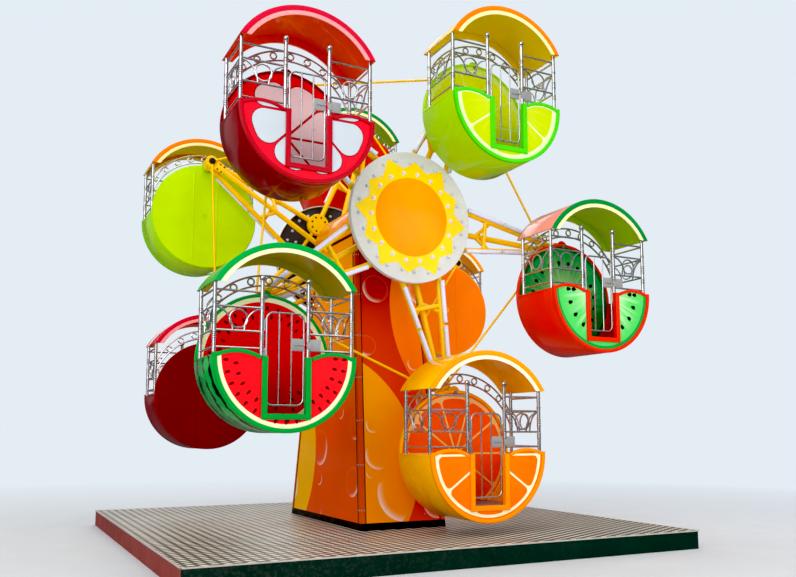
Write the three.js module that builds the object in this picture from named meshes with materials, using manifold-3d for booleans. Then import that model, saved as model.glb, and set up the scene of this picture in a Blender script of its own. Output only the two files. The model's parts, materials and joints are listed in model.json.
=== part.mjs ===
// Two-sided children's ferris wheel: five fruit cabins on each side of a tapered tower on a steel deck.
// Millimetres, +Z up. The wheel axle runs along Y, and the front wheel is on the -Y side.
import * as THREE from 'three';
import { mergeVertices } from 'three/addons/utils/BufferGeometryUtils.js';
import Module from 'manifold-3d';

const wasm = await Module();
wasm.setup();

// Clearances
const SEAT_GAP = 0.3;
const SHAFT_GAP = 0.7;
const PIN_GAP = 1;

// Deck
const DECK_HALF_X = 2850;
const DECK_HALF_Y = 2750;
const DECK_TOP = 200;
const TREAD_PLATE = 8;
const DECK_BEAM = 60;
const JOIST_SPACING = 560;
const JOIST_COUNT = 9;

// Wheel
const AXLE_Z = DECK_TOP + 3570;
const ARM_RADIUS = 2090;
const ARM_COUNT = 5;
const FRONT_PHASE = -4.5;
const REAR_PHASE = 2.8;
const CHORD_PLANE = 1230;
const CHORD_R = 35;
const BRACE_R = 25;
const SPOKE_R = 30;
const GUSSET_RADIUS = 500;
const GUSSET_R = 155;
const GUSSET_BACK = 1184;
const GUSSET_FRONT = 1268;
const OUTER_BRACE = 0.4;
const INNER_BRACE = 0.45;
const BOSS_R = 150;
const BOSS_START = 1010;
const BOSS_END = 1317;
const SHAFT_R = 60;
const SHAFT_SIDES = 24;
const HUB_PLATE_R = 777;
const HUB_PLATE = 18;
const HUB_RIM = 45;
const HUB_RIM_SHEET = 10;
const TIP_CASE_R = 80;
const TIP_CASE_START = 1120;
const TIE_ROD_R = 11;
const TIE_EYE_R = 42;
const TIE_EYE = 16;
const PIVOT_PIN_R = 25;
const PIN_SIDES = 12;

// Tower
const TOWER_BASE = [540, 1140];
const TOWER_TOP = [420, 650];
const TOWER_HEIGHT = 3300;
const HOOD_EAVE = AXLE_Z - 70;
const SKIRT_HEIGHT = 80;
const TOWER_WALL = 30;
const PANEL_SHEET = 16;
const CORNER_STRIP = 62;
const PANEL_GAP = 8;
const HEAD_PLATE_Z = AXLE_Z - 170;
const HOOD_R = 432;
const HOOD_HALF_LENGTH = 662;
const HOOD_SHEET = 14;
const HOOD_LIP = [392, 602];
const HOOD_STEPS = 16;
const BEARING_U = 520;
const BEARING_HALF = 50;

// Cabin, measured from its pivot, with u the distance out from the middle of the tower
const DISC_R = 715;
const DISC_Z = -685;
const DISC_BACK = 1440;
const DISC_FRONT = 1462;
const SHELL = 22;
const HALF_STEPS = 14;
const FACE_BACK = 2140;
const FACE_FRONT = 2170;
const DOOR_HALF = 190;
const DOOR_FRAME = 55;
const SILL_Z = -1218;
const HUMP_RISE = 62;
const FLOOR_Z = -1225;
const DRAIN_GAP = 14;
const BOSS_OUTER = 1335;
const CABIN_BOSS_R = 62;

// Railing
const POST_R = 17;
const POST_X = 690;
const DOOR_POST_X = 232;
const FRONT_POST_U = 2110;
const REAR_POST_U = 1570;
const RAIL_HEIGHTS = [-607, -447, -220];
const RAIL = 12;
const DOOR_POST_TOP = 35;
const BACK_ARCH_R = 754;
const BACK_ARCH_APEX = 210;
const BACK_ARCH_STEPS = 8;

// Canopy
const CANOPY_R = 824;
const CANOPY_APEX = 423;
const CANOPY_SHEET = 18;
const CANOPY_STEPS = 10;
const CANOPY_BACK = 1485;
const CANOPY_FRONT = 2190;
const FASCIA_WIDTH = 95;
const FASCIA = 18;

// Gate
const GATE_HALF = 197;
const GATE_TOP = -244;
const GATE_BOTTOM = -1147;
const GATE_BAR = 19;
const GATE_CORNER = 55;
const GATE_BAR_X = 62;
const GATE_UPRIGHT = 14;
const LATCH = [-612, -495];
const LATCH_BOX = 130;
const HINGE_X = -207;
const HINGE_HEIGHTS = [-360, -640];
const KNUCKLE_X = 6;
const KNUCKLE_U = 5;
const KNUCKLE = 50;

const COLOURS = {
  deck: 0x8a8582, channel: 0x96402f, yellow: 0xffbf00, orange: 0xff8a00, deep: 0xe04010,
  steel: 0xc8ccd0, white: 0xf4f2ea, dark: 0x202226,
};
const FRUITS = {
  kiwi: { skin: 0xe12a08, roof: 0x0a8a3a },
  green_citrus: { skin: 0x9ccc10, roof: 0xf08a10 },
  red_citrus: { skin: 0xb01020, roof: 0xd01838 },
  melon: { skin: 0x109a3c, roof: 0x18a83c },
  tangerine: { skin: 0xff8c00, roof: 0xff9a08 },
};
const FRONT_FRUITS = ['kiwi', 'green_citrus', 'red_citrus', 'melon', 'tangerine'];
const REAR_FRUITS = ['tangerine', 'kiwi', 'green_citrus', 'red_citrus', 'melon'];

const rad = THREE.MathUtils.degToRad;

// A closed geometry as a solid that can be joined and cut
function toSolid(geometry) {
  const bare = geometry.clone();
  bare.deleteAttribute('normal');
  bare.deleteAttribute('uv');
  const merged = mergeVertices(bare, 1e-3);
  const vertProperties = new Float32Array(merged.attributes.position.array);
  const triVerts = new Uint32Array(merged.index.array);
  const mesh = new wasm.Mesh({ numProp: 3, vertProperties, triVerts });
  return new wasm.Manifold(mesh);
}

function toGeometry(solid) {
  const mesh = solid.getMesh();
  const geometry = new THREE.BufferGeometry();
  geometry.setAttribute('position', new THREE.BufferAttribute(mesh.vertProperties, 3));
  geometry.setIndex(new THREE.BufferAttribute(mesh.triVerts, 1));
  geometry.computeVertexNormals();
  return geometry;
}

function join(geometries) {
  return geometries.map(toSolid).reduce((whole, piece) => whole.add(piece));
}

function box(x0, x1, y0, y1, z0, z1) {
  const geometry = new THREE.BoxGeometry(x1 - x0, y1 - y0, z1 - z0);
  return geometry.translate((x0 + x1) / 2, (y0 + y1) / 2, (z0 + z1) / 2);
}

// A bar between two points, with one of its flats facing out from the tower
function bar(from, to, radius, sides = 4) {
  const start = new THREE.Vector3(...from);
  const along = new THREE.Vector3(...to).sub(start);
  const length = along.length();
  along.normalize();
  const sideways = new THREE.Vector3(0, 1, 0).cross(along).normalize();
  const outward = sideways.clone().cross(along);
  const geometry = new THREE.CylinderGeometry(radius, radius, length, sides);
  geometry.rotateY(Math.PI / sides);
  geometry.translate(0, length / 2, 0);
  geometry.applyMatrix4(new THREE.Matrix4().makeBasis(sideways, along, outward));
  return geometry.translate(start.x, start.y, start.z);
}

// Points of an arc in a plate's own plane, in degrees
function arc(radius, centreX, centreZ, from, to, steps) {
  return Array.from({ length: steps + 1 }, (unused, i) => {
    const angle = rad(from + ((to - from) * i) / steps);
    return new THREE.Vector2(centreX + radius * Math.cos(angle), centreZ + radius * Math.sin(angle));
  });
}

// A flat outline standing in the wheel's plane, from u0 to u1 out from the tower
function plate(points, u0, u1, holes = []) {
  const shape = new THREE.Shape(points);
  shape.holes = holes.map((hole) => new THREE.Path(hole));
  const geometry = new THREE.ExtrudeGeometry(shape, { depth: u1 - u0, bevelEnabled: false });
  return geometry.translate(0, 0, u0).rotateX(Math.PI / 2);
}

function ring(radius, x, z, sides) {
  return arc(radius, x, z, 0, 360 - 360 / sides, sides - 1);
}

function round(radius, x, z, u0, u1, sides) {
  return plate(ring(radius, x, z, sides), u0, u1);
}

// A four-sided tapered block from z0 to z1, cut from the tower's own taper and shrunk by an inset
function taper(z0, z1, insetX, insetY) {
  const half = (z, axis) => {
    const share = (z - DECK_TOP) / TOWER_HEIGHT;
    return TOWER_BASE[axis] + (TOWER_TOP[axis] - TOWER_BASE[axis]) * share;
  };
  const geometry = new THREE.BoxGeometry(2, 2, 2);
  const position = geometry.attributes.position;
  for (let i = 0; i < position.count; i += 1) {
    const z = position.getZ(i) > 0 ? z1 : z0;
    position.setXYZ(i, position.getX(i) * (half(z, 0) - insetX), position.getY(i) * (half(z, 1) - insetY), z);
  }
  return geometry;
}

function paint(colour, roughness, metalness) {
  return new THREE.MeshStandardMaterial({ color: colour, roughness, metalness });
}

const wheelPart = new THREE.Group();

function place(name, geometry, material, parent = wheelPart) {
  const mesh = new THREE.Mesh(geometry, material);
  mesh.name = name;
  parent.add(mesh);
  return mesh;
}

// Deck: an edge channel with joists between it, as a block with the bays taken out
function deckFrame() {
  const top = DECK_TOP - TREAD_PLATE - SEAT_GAP;
  const innerX = DECK_HALF_X - DECK_BEAM;
  const innerY = DECK_HALF_Y - DECK_BEAM;
  const joist = (i) => (i - (JOIST_COUNT - 1) / 2) * JOIST_SPACING;
  let frame = toSolid(box(-DECK_HALF_X, DECK_HALF_X, -DECK_HALF_Y, DECK_HALF_Y, 0, top));
  for (let i = 0; i <= JOIST_COUNT; i += 1) {
    const left = i === 0 ? -innerX : joist(i - 1) + DECK_BEAM / 2;
    const right = i === JOIST_COUNT ? innerX : joist(i) - DECK_BEAM / 2;
    frame = frame.subtract(toSolid(box(left, right, -innerY, innerY, -5, top + 5)));
  }
  return toGeometry(frame);
}

// Tower frame: black skirt, four corner strips and the head plate that carries the bearings
function towerFrame() {
  const skirtTop = DECK_TOP + SKIRT_HEIGHT;
  const bottom = DECK_TOP + SEAT_GAP;
  const eave = HOOD_EAVE - SEAT_GAP;
  const walls = toSolid(taper(bottom, eave, 0, 0)).subtract(
    toSolid(taper(DECK_TOP - 1, eave + 1, TOWER_WALL, TOWER_WALL)),
  );
  const frontWindows = toSolid(taper(skirtTop, eave + 1, CORNER_STRIP, -TOWER_WALL));
  const sideWindows = toSolid(taper(skirtTop, eave + 1, -TOWER_WALL, CORNER_STRIP));
  const head = toSolid(taper(HEAD_PLATE_Z - 20, HEAD_PLATE_Z, TOWER_WALL - 5, TOWER_WALL - 5));
  return toGeometry(walls.subtract(frontWindows).subtract(sideWindows).add(head));
}

// One printed sheet of the tower's skin, on the side that the sign and axis name
function towerPanel(axis, sign) {
  const z0 = DECK_TOP + SKIRT_HEIGHT + SEAT_GAP;
  const z1 = HOOD_EAVE - 28;
  const edge = CORNER_STRIP + PANEL_GAP;
  const inside = toSolid(taper(z0 - 1, z1 + 1, PANEL_SHEET, PANEL_SHEET));
  const skin = toSolid(taper(z0, z1, 0, 0)).subtract(inside);
  const insets = axis === 0 ? [-TOWER_WALL, edge] : [edge, -TOWER_WALL];
  const bay = toSolid(taper(z0 - 2, z1 + 2, ...insets));
  const reach = 2 * TOWER_BASE[1];
  const near = Math.min(0, sign * reach);
  const far = Math.max(0, sign * reach);
  const half = axis === 0
    ? box(near, far, -reach, reach, 0, 2 * AXLE_Z)
    : box(-reach, reach, near, far, 0, 2 * AXLE_Z);
  return toGeometry(skin.intersect(bay).intersect(toSolid(half)));
}

// Half-round hood over the axle: its lip rests on the tower, and a slot at each end passes over the shaft
function towerHood() {
  const section = (radius, base) => [
    new THREE.Vector2(radius, base),
    ...arc(radius, 0, AXLE_Z, 0, 180, HOOD_STEPS),
    new THREE.Vector2(-radius, base),
  ];
  const end = HOOD_HALF_LENGTH;
  const outside = toSolid(plate(section(HOOD_R, HOOD_EAVE), -end, end));
  const hollow = section(HOOD_R - HOOD_SHEET, HOOD_EAVE + HOOD_SHEET);
  const slotHalf = SHAFT_R + 20;
  const cuts = [
    plate(hollow, HOOD_SHEET - end, end - HOOD_SHEET),
    box(-HOOD_LIP[0], HOOD_LIP[0], -HOOD_LIP[1], HOOD_LIP[1], HOOD_EAVE - 1, AXLE_Z),
    box(-slotHalf, slotHalf, -end - 1, end + 1, HOOD_EAVE - 1, AXLE_Z),
    round(slotHalf, 0, AXLE_Z, -end - 1, end + 1, HOOD_STEPS),
  ];
  return toGeometry(cuts.reduce((rest, cut) => rest.subtract(toSolid(cut)), outside));
}

function bearing(u) {
  const base = HEAD_PLATE_Z + SEAT_GAP;
  const foot = base + 35;
  const outline = [
    new THREE.Vector2(-200, base),
    new THREE.Vector2(200, base),
    new THREE.Vector2(200, foot),
    ...arc(120, 0, AXLE_Z, -20, 200, 12),
    new THREE.Vector2(-200, foot),
  ];
  const hole = ring(SHAFT_R + SHAFT_GAP, 0, AXLE_Z, SHAFT_SIDES);
  return plate(outline, u - BEARING_HALF, u + BEARING_HALF, [hole]);
}

function polar(radius, angle, u) {
  return [radius * Math.cos(angle), -u, AXLE_Z + radius * Math.sin(angle)];
}

// One arm: two outer chords from the gussets, one inner chord from the boss, and a brace triangle
function armPieces(arm, gussets) {
  const tipR = ARM_RADIUS - 35;
  const spread = CHORD_R + 7;
  const across = [-Math.sin(arm) * spread, 0, Math.cos(arm) * spread];
  const shift = (point, sign) => point.map((value, k) => value + sign * across[k]);
  const mix = (from, to, share) => from.map((value, k) => value + (to[k] - value) * share);
  const tip = polar(tipR, arm, CHORD_PLANE);
  const outer = gussets.map((gusset, i) => [gusset, shift(tip, i === 0 ? 1 : -1)]);
  const inner = [polar(BOSS_R - 20, arm, BOSS_START + 60), polar(tipR, arm, TIP_CASE_START + CHORD_R + 5)];
  const chords = outer.map(([root, end]) => bar(mix(root, end, 0.07), end, CHORD_R, 6));
  chords.push(bar(...inner, CHORD_R, 6));
  const braces = outer.map(([root, end]) => (
    bar(mix(root, end, INNER_BRACE), mix(...inner, INNER_BRACE), BRACE_R)
  ));
  braces.push(bar(mix(...outer[0], OUTER_BRACE), mix(...outer[1], OUTER_BRACE), BRACE_R));
  return [...chords, ...braces];
}

// The steel star of one wheel: hub boss, five braced arms, gusset discs and tip casings with pins
function wheelFrame(phase) {
  const step = 360 / ARM_COUNT;
  const casingEnd = BOSS_OUTER - SEAT_GAP;
  const pieces = [round(BOSS_R, 0, AXLE_Z, BOSS_START, BOSS_END - SEAT_GAP, 16)];
  for (let i = 0; i < ARM_COUNT; i += 1) {
    const arm = rad(phase + i * step);
    const side = rad(phase + (i + 0.5) * step);
    const nextSide = rad(phase + (i + 1.5) * step);
    const lastSide = rad(phase + (i - 0.5) * step);
    const gusset = polar(GUSSET_RADIUS, side, CHORD_PLANE);
    pieces.push(...armPieces(arm, [gusset, polar(GUSSET_RADIUS, lastSide, CHORD_PLANE)]));
    pieces.push(round(GUSSET_R, gusset[0], gusset[2], GUSSET_BACK, GUSSET_FRONT, 12));
    const next = polar(GUSSET_RADIUS, nextSide, CHORD_PLANE);
    const inset = (GUSSET_R * 0.75) / Math.hypot(next[0] - gusset[0], next[2] - gusset[2]);
    const along = (share) => gusset.map((value, k) => value + (next[k] - value) * share);
    pieces.push(bar(along(inset), along(1 - inset), BRACE_R));
    const spokeStart = polar(BOSS_R - 30, side, CHORD_PLANE);
    pieces.push(bar(spokeStart, polar(GUSSET_RADIUS - 110, side, CHORD_PLANE), SPOKE_R));
    const pivot = polar(ARM_RADIUS, arm, 0);
    pieces.push(round(TIP_CASE_R, pivot[0], pivot[2], TIP_CASE_START, casingEnd, 10));
    pieces.push(round(PIVOT_PIN_R, pivot[0], pivot[2], casingEnd - 5, DISC_FRONT + 18, PIN_SIDES));
  }
  const bore = toSolid(round(SHAFT_R + 0.4, 0, AXLE_Z, BOSS_START - 50, BOSS_END + 50, SHAFT_SIDES));
  return toGeometry(join(pieces).subtract(bore));
}

// Thin rods from arm tip to arm tip, with an eye against each tip casing
function tieRods(phase) {
  const eyeEnd = TIP_CASE_START - SEAT_GAP;
  const rodPlane = eyeEnd - TIE_EYE / 2;
  const pieces = [];
  for (let i = 0; i < ARM_COUNT; i += 1) {
    const here = rad(phase + (i * 360) / ARM_COUNT);
    const next = rad(phase + ((i + 1) * 360) / ARM_COUNT);
    const pivot = polar(ARM_RADIUS, here, 0);
    pieces.push(round(TIE_EYE_R, pivot[0], pivot[2], eyeEnd - TIE_EYE, eyeEnd, 8));
    pieces.push(bar(polar(ARM_RADIUS, here, rodPlane), polar(ARM_RADIUS, next, rodPlane), TIE_ROD_R));
  }
  return toGeometry(join(pieces));
}

// Round cover plate with a turned-back rim
function hubPlate() {
  const inner = HUB_PLATE_R - HUB_RIM_SHEET;
  const back = [[0, 0], [inner, 0], [inner, -HUB_RIM], [HUB_PLATE_R, -HUB_RIM]];
  const profile = [...back, [HUB_PLATE_R, HUB_PLATE], [0, HUB_PLATE]];
  const lathe = new THREE.LatheGeometry(profile.map(([r, u]) => new THREE.Vector2(r, u)), 32);
  return lathe.rotateX(Math.PI).translate(0, -BOSS_END, AXLE_Z);
}

// Half-disc outline of the cabin's front with two humps and the doorway
function humpArc(sign) {
  const near = DOOR_HALF + DOOR_FRAME;
  const halfSpan = (DISC_R - near) / 2;
  const radius = (halfSpan * halfSpan + HUMP_RISE * HUMP_RISE) / (2 * HUMP_RISE);
  const spread = THREE.MathUtils.radToDeg(Math.asin(halfSpan / radius));
  const centreX = sign * (near + halfSpan);
  const centreZ = DISC_Z + HUMP_RISE - radius;
  return arc(radius, centreX, centreZ, 90 - spread, 90 + spread, 6);
}

function cabinTub() {
  const lower = (radius) => arc(radius, 0, DISC_Z, 180, 360, HALF_STEPS);
  const backDisc = round(DISC_R, 0, DISC_Z, DISC_BACK, DISC_FRONT, 2 * HALF_STEPS);
  const drum = plate([...lower(DISC_R), ...lower(DISC_R - SHELL).reverse()], DISC_BACK, FACE_FRONT);
  const face = plate([
    ...lower(DISC_R),
    ...humpArc(1),
    new THREE.Vector2(DOOR_HALF, DISC_Z),
    new THREE.Vector2(DOOR_HALF, SILL_Z),
    new THREE.Vector2(-DOOR_HALF, SILL_Z),
    new THREE.Vector2(-DOOR_HALF, DISC_Z),
    ...humpArc(-1),
  ], FACE_BACK, FACE_FRONT);
  // The floor stops short of the back disc, so that rain drains into the belly and out
  const floorHalf = Math.sqrt((DISC_R - SHELL / 2) ** 2 - (FLOOR_Z - DISC_Z) ** 2);
  const floor = box(-floorHalf, floorHalf, -FACE_BACK - 2, -DISC_FRONT - DRAIN_GAP, FLOOR_Z - 15, FLOOR_Z);
  const boss = round(CABIN_BOSS_R, 0, 0, BOSS_OUTER, DISC_BACK + 2, 10);
  const bore = round(PIVOT_PIN_R + PIN_GAP, 0, 0, BOSS_OUTER - 5, DISC_FRONT + 2, PIN_SIDES);
  return toGeometry(join([backDisc, drum, face, floor, boss]).subtract(toSolid(bore)));
}

// The canopy's arch at one radius, ending level with the pivot
function canopyArc(radius) {
  const centreZ = CANOPY_APEX - CANOPY_R;
  const end = THREE.MathUtils.radToDeg(Math.asin(-centreZ / radius));
  return arc(radius, 0, centreZ, end, 180 - end, CANOPY_STEPS);
}

// Everything above the underside of the canopy, used to cut the post heads to its slope
function aboveCanopy() {
  const under = canopyArc(CANOPY_R - CANOPY_SHEET - SEAT_GAP);
  const low = under.map((point) => point.clone()).reverse();
  const reach = CANOPY_R + 100;
  const slope = (a, b) => a.clone().add(a.clone().sub(b).multiplyScalar(1.5));
  return toSolid(plate([
    slope(low[0], low[1]),
    ...low.slice(1, -1),
    slope(low[low.length - 1], low[low.length - 2]),
    new THREE.Vector2(reach, CANOPY_APEX + 200),
    new THREE.Vector2(-reach, CANOPY_APEX + 200),
  ], DISC_BACK, CANOPY_FRONT + 10));
}

function cabinRailing() {
  const rim = DISC_Z + SEAT_GAP;
  const pieces = [];
  [1, -1].forEach((sign) => {
    [FRONT_POST_U, REAR_POST_U].forEach((u) => {
      pieces.push(bar([sign * POST_X, -u, rim], [sign * POST_X, -u, 120], POST_R, 8));
    });
    const doorX = sign * DOOR_POST_X;
    const foot = [doorX, -FRONT_POST_U, FLOOR_Z + SEAT_GAP];
    pieces.push(bar(foot, [doorX, -FRONT_POST_U, DOOR_POST_TOP], POST_R, 8));
    const corner = sign * POST_X;
    const half = RAIL / 2;
    const left = Math.min(doorX, corner);
    const right = Math.max(doorX, corner);
    RAIL_HEIGHTS.forEach((z) => {
      pieces.push(box(left, right, -FRONT_POST_U - half, half - FRONT_POST_U, z - half, z + half));
      pieces.push(box(corner - half, corner + half, -FRONT_POST_U, -REAR_POST_U, z - half, z + half));
    });
  });
  const spread = THREE.MathUtils.radToDeg(Math.asin(POST_X / BACK_ARCH_R));
  const archZ = BACK_ARCH_APEX - BACK_ARCH_R;
  pieces.push(plate([
    ...arc(BACK_ARCH_R, 0, archZ, 90 - spread, 90 + spread, BACK_ARCH_STEPS),
    ...arc(BACK_ARCH_R - RAIL, 0, archZ, 90 + spread, 90 - spread, BACK_ARCH_STEPS),
  ], REAR_POST_U - RAIL / 2, REAR_POST_U + RAIL / 2));
  // The gate's knuckles rest on fixed ones, which stand out of the left door post
  const front = -FRONT_POST_U - KNUCKLE_U;
  const back = KNUCKLE_U - FRONT_POST_U;
  HINGE_HEIGHTS.forEach((z) => {
    const top = z - KNUCKLE / 2 - 0.5;
    pieces.push(box(POST_R / 2 - DOOR_POST_X, HINGE_X + KNUCKLE_X, front, back, top - KNUCKLE, top));
  });
  // Latch box on the right of the doorway, hung from the middle rail
  const latchTop = RAIL_HEIGHTS[1] - RAIL / 2 + 2;
  pieces.push(box(DOOR_POST_X, DOOR_POST_X + LATCH_BOX, front, back, LATCH[0], latchTop));
  return toGeometry(join(pieces).subtract(aboveCanopy()));
}

function cabinCanopy() {
  const arch = (inner) => [...canopyArc(CANOPY_R), ...canopyArc(inner).reverse()];
  const shell = plate(arch(CANOPY_R - CANOPY_SHEET), CANOPY_BACK, CANOPY_FRONT);
  const fascia = plate(arch(CANOPY_R - FASCIA_WIDTH), CANOPY_FRONT - FASCIA, CANOPY_FRONT);
  return toGeometry(join([shell, fascia]));
}

// A rectangle whose corners are cut off, on the sides that the flags name
function window(x0, x1, z0, z1, corner, cuts) {
  const corners = [[x1, z1, 0], [x0, z1, 90], [x0, z0, 180], [x1, z0, 270]];
  return corners.flatMap(([x, z, start], i) => {
    if (!cuts[i]) return [new THREE.Vector2(x, z)];
    const centreX = x + (x === x1 ? -corner : corner);
    const centreZ = z + (z === z1 ? -corner : corner);
    return arc(corner, centreX, centreZ, start, start + 90, 2);
  });
}

// Gate: a rounded loop with two uprights, a latch plate at its right and two hinge knuckles
function cabinGate() {
  const half = GATE_BAR / 2;
  const inset = GATE_CORNER - GATE_BAR;
  const left = GATE_BAR - GATE_HALF;
  const right = GATE_HALF - GATE_BAR;
  const low = GATE_BOTTOM + GATE_BAR;
  const high = GATE_TOP - GATE_BAR;
  const edge = GATE_UPRIGHT / 2;
  const holes = [
    window(left, -GATE_BAR_X - edge, low, high, inset, [false, true, true, false]),
    window(-GATE_BAR_X + edge, GATE_BAR_X - edge, low, high, inset, [false, false, false, false]),
    window(GATE_BAR_X + edge, right, LATCH[1], high, inset, [true, false, false, false]),
    window(GATE_BAR_X + edge, right, low, LATCH[0], inset, [false, false, false, true]),
  ];
  const outline = window(-GATE_HALF, GATE_HALF, GATE_BOTTOM, GATE_TOP, GATE_CORNER, [true, true, true, true]);
  const u = FRONT_POST_U;
  const leaf = holes.reduce(
    (rest, hole) => rest.subtract(toSolid(plate(hole, u - GATE_BAR, u + GATE_BAR))),
    toSolid(plate(outline, u - half, u + half)),
  );
  const knuckles = HINGE_HEIGHTS.map((z) => (
    box(HINGE_X - KNUCKLE_X, 5 - GATE_HALF, -u - KNUCKLE_U, KNUCKLE_U - u, z - KNUCKLE / 2, z + KNUCKLE / 2)
  ));
  return toGeometry(leaf.add(join(knuckles)));
}

// Base
place('deck_frame', deckFrame(), paint(COLOURS.channel, 0.6, 0.2));
const treads = box(-DECK_HALF_X, DECK_HALF_X, -DECK_HALF_Y, DECK_HALF_Y, DECK_TOP - TREAD_PLATE, DECK_TOP);
place('deck_plate', treads, paint(COLOURS.deck, 0.45, 0.8));
place('tower_frame', towerFrame(), paint(COLOURS.deep, 0.4, 0));
place('tower_panel_front', towerPanel(1, -1), paint(COLOURS.orange, 0.3, 0));
place('tower_panel_rear', towerPanel(1, 1), paint(COLOURS.orange, 0.3, 0));
place('tower_panel_left', towerPanel(0, -1), paint(COLOURS.orange, 0.3, 0));
place('tower_panel_right', towerPanel(0, 1), paint(COLOURS.orange, 0.3, 0));
place('tower_hood', towerHood(), paint(COLOURS.orange, 0.3, 0));
place('front_bearing', bearing(BEARING_U), paint(COLOURS.dark, 0.5, 0.4));
place('rear_bearing', bearing(-BEARING_U), paint(COLOURS.dark, 0.5, 0.4));

// Wheel
const shaftEnd = BOSS_END - 7;
const shaft = round(SHAFT_R, 0, AXLE_Z, -shaftEnd, shaftEnd, SHAFT_SIDES);
place('main_shaft', shaft, paint(COLOURS.steel, 0.4, 0.9));
const yellow = paint(COLOURS.yellow, 0.3, 0.1);
const white = paint(COLOURS.white, 0.4, 0);
const sides = [
  { name: 'front', turn: 0, phase: FRONT_PHASE, fruits: FRONT_FRUITS },
  { name: 'rear', turn: Math.PI, phase: REAR_PHASE, fruits: REAR_FRUITS },
];
sides.forEach(({ name, turn, phase }) => {
  const ownPhase = turn === 0 ? phase : 180 - phase;
  const side = new THREE.Group();
  side.rotation.z = turn;
  wheelPart.add(side);
  place(`${name}_wheel_frame`, wheelFrame(ownPhase), yellow, side);
  place(`${name}_tie_rods`, tieRods(ownPhase), yellow, side);
  place(`${name}_hub_plate`, hubPlate(), white, side);
});

// Cabins: the same tub, railing, canopy and gate hang from every arm
const tub = cabinTub();
const railing = cabinRailing();
const canopy = cabinCanopy();
const gate = cabinGate();
sides.forEach(({ name, turn, phase, fruits }) => {
  fruits.forEach((fruit, i) => {
    const angle = rad(phase + (i * 360) / ARM_COUNT);
    const cabin = new THREE.Group();
    cabin.position.set(ARM_RADIUS * Math.cos(angle), 0, AXLE_Z + ARM_RADIUS * Math.sin(angle));
    cabin.rotation.z = turn;
    wheelPart.add(cabin);
    const label = `${name}_cabin_${i + 1}`;
    place(`${label}_tub`, tub, paint(FRUITS[fruit].skin, 0.25, 0), cabin);
    place(`${label}_railing`, railing, paint(COLOURS.steel, 0.25, 1), cabin);
    place(`${label}_canopy`, canopy, paint(FRUITS[fruit].roof, 0.25, 0), cabin);
    place(`${label}_gate`, gate, paint(COLOURS.steel, 0.25, 1), cabin);
  });
});

export default wheelPart;
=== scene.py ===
# %% [markdown]
# # A fruit ferris wheel for children
# Two wheels of five fruit cabins turn on one shaft, on the front and the rear of a box tower.
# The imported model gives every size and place, so this lesson only adds the finish and the fine shapes.

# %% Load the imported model
import json
import math

import bmesh
import bpy
from mathutils import Matrix, Vector


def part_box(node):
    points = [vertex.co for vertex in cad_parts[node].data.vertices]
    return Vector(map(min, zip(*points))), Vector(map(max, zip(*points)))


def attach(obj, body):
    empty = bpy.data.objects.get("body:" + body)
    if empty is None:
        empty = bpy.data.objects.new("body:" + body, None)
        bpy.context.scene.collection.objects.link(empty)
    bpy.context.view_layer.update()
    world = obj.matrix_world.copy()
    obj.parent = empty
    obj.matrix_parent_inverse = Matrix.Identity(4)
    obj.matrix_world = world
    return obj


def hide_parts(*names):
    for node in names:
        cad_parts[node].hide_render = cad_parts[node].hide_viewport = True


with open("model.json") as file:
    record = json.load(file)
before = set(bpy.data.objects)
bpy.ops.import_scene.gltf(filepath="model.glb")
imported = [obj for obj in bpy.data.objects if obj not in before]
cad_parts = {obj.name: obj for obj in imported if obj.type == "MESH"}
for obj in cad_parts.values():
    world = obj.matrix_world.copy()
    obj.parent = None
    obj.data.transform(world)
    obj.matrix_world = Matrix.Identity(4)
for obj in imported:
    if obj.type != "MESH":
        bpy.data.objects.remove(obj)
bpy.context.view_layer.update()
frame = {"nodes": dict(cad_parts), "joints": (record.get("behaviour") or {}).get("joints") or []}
joints = {joint["name"]: joint for joint in frame["joints"]}
axle = Vector(joints["wheel_turn"]["pos_m"])
print("axle at", tuple(round(v, 3) for v in axle))

# %% [markdown]
# ## The camera
# The visitor stands a little left of the front, low on the ground, and looks up at the wheel.
# The lens is set from a focal length in pixels on a frame of 796 by 577, and the view is shifted up
# a little, as a phone does when it straightens the verticals.

# %% Camera
FRAME_WIDTH = 796
SENSOR = 36
FOCAL_PIXELS = 824
SHIFT_PIXELS = 47
CAMERA_PLACE = (-4.354, -9.616, 1.289)
CAMERA_YAW = 26.75
CAMERA_PITCH = 6.68

lens = bpy.data.cameras.new("visitor")
lens.sensor_width = SENSOR
lens.lens = SENSOR * FOCAL_PIXELS / FRAME_WIDTH
lens.shift_y = SHIFT_PIXELS / FRAME_WIDTH
camera = bpy.data.objects.new("visitor", lens)
camera.location = CAMERA_PLACE
camera.rotation_euler = (math.radians(90 + CAMERA_PITCH), 0, math.radians(-CAMERA_YAW))
bpy.context.scene.collection.objects.link(camera)
bpy.context.scene.camera = camera
print("lens", round(lens.lens, 2), "mm")

# %% [markdown]
# ## Light
# Bright fibreglass looks right when it mirrors something large and pale.
# Four wide area lamps stand in for a light sky: a key at the front left, a fill, a top and a back lamp.
# The fill only lifts the shadows, so it is kept out of the gloss. A small black level gives the
# picture the contrast that a phone gives.

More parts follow.
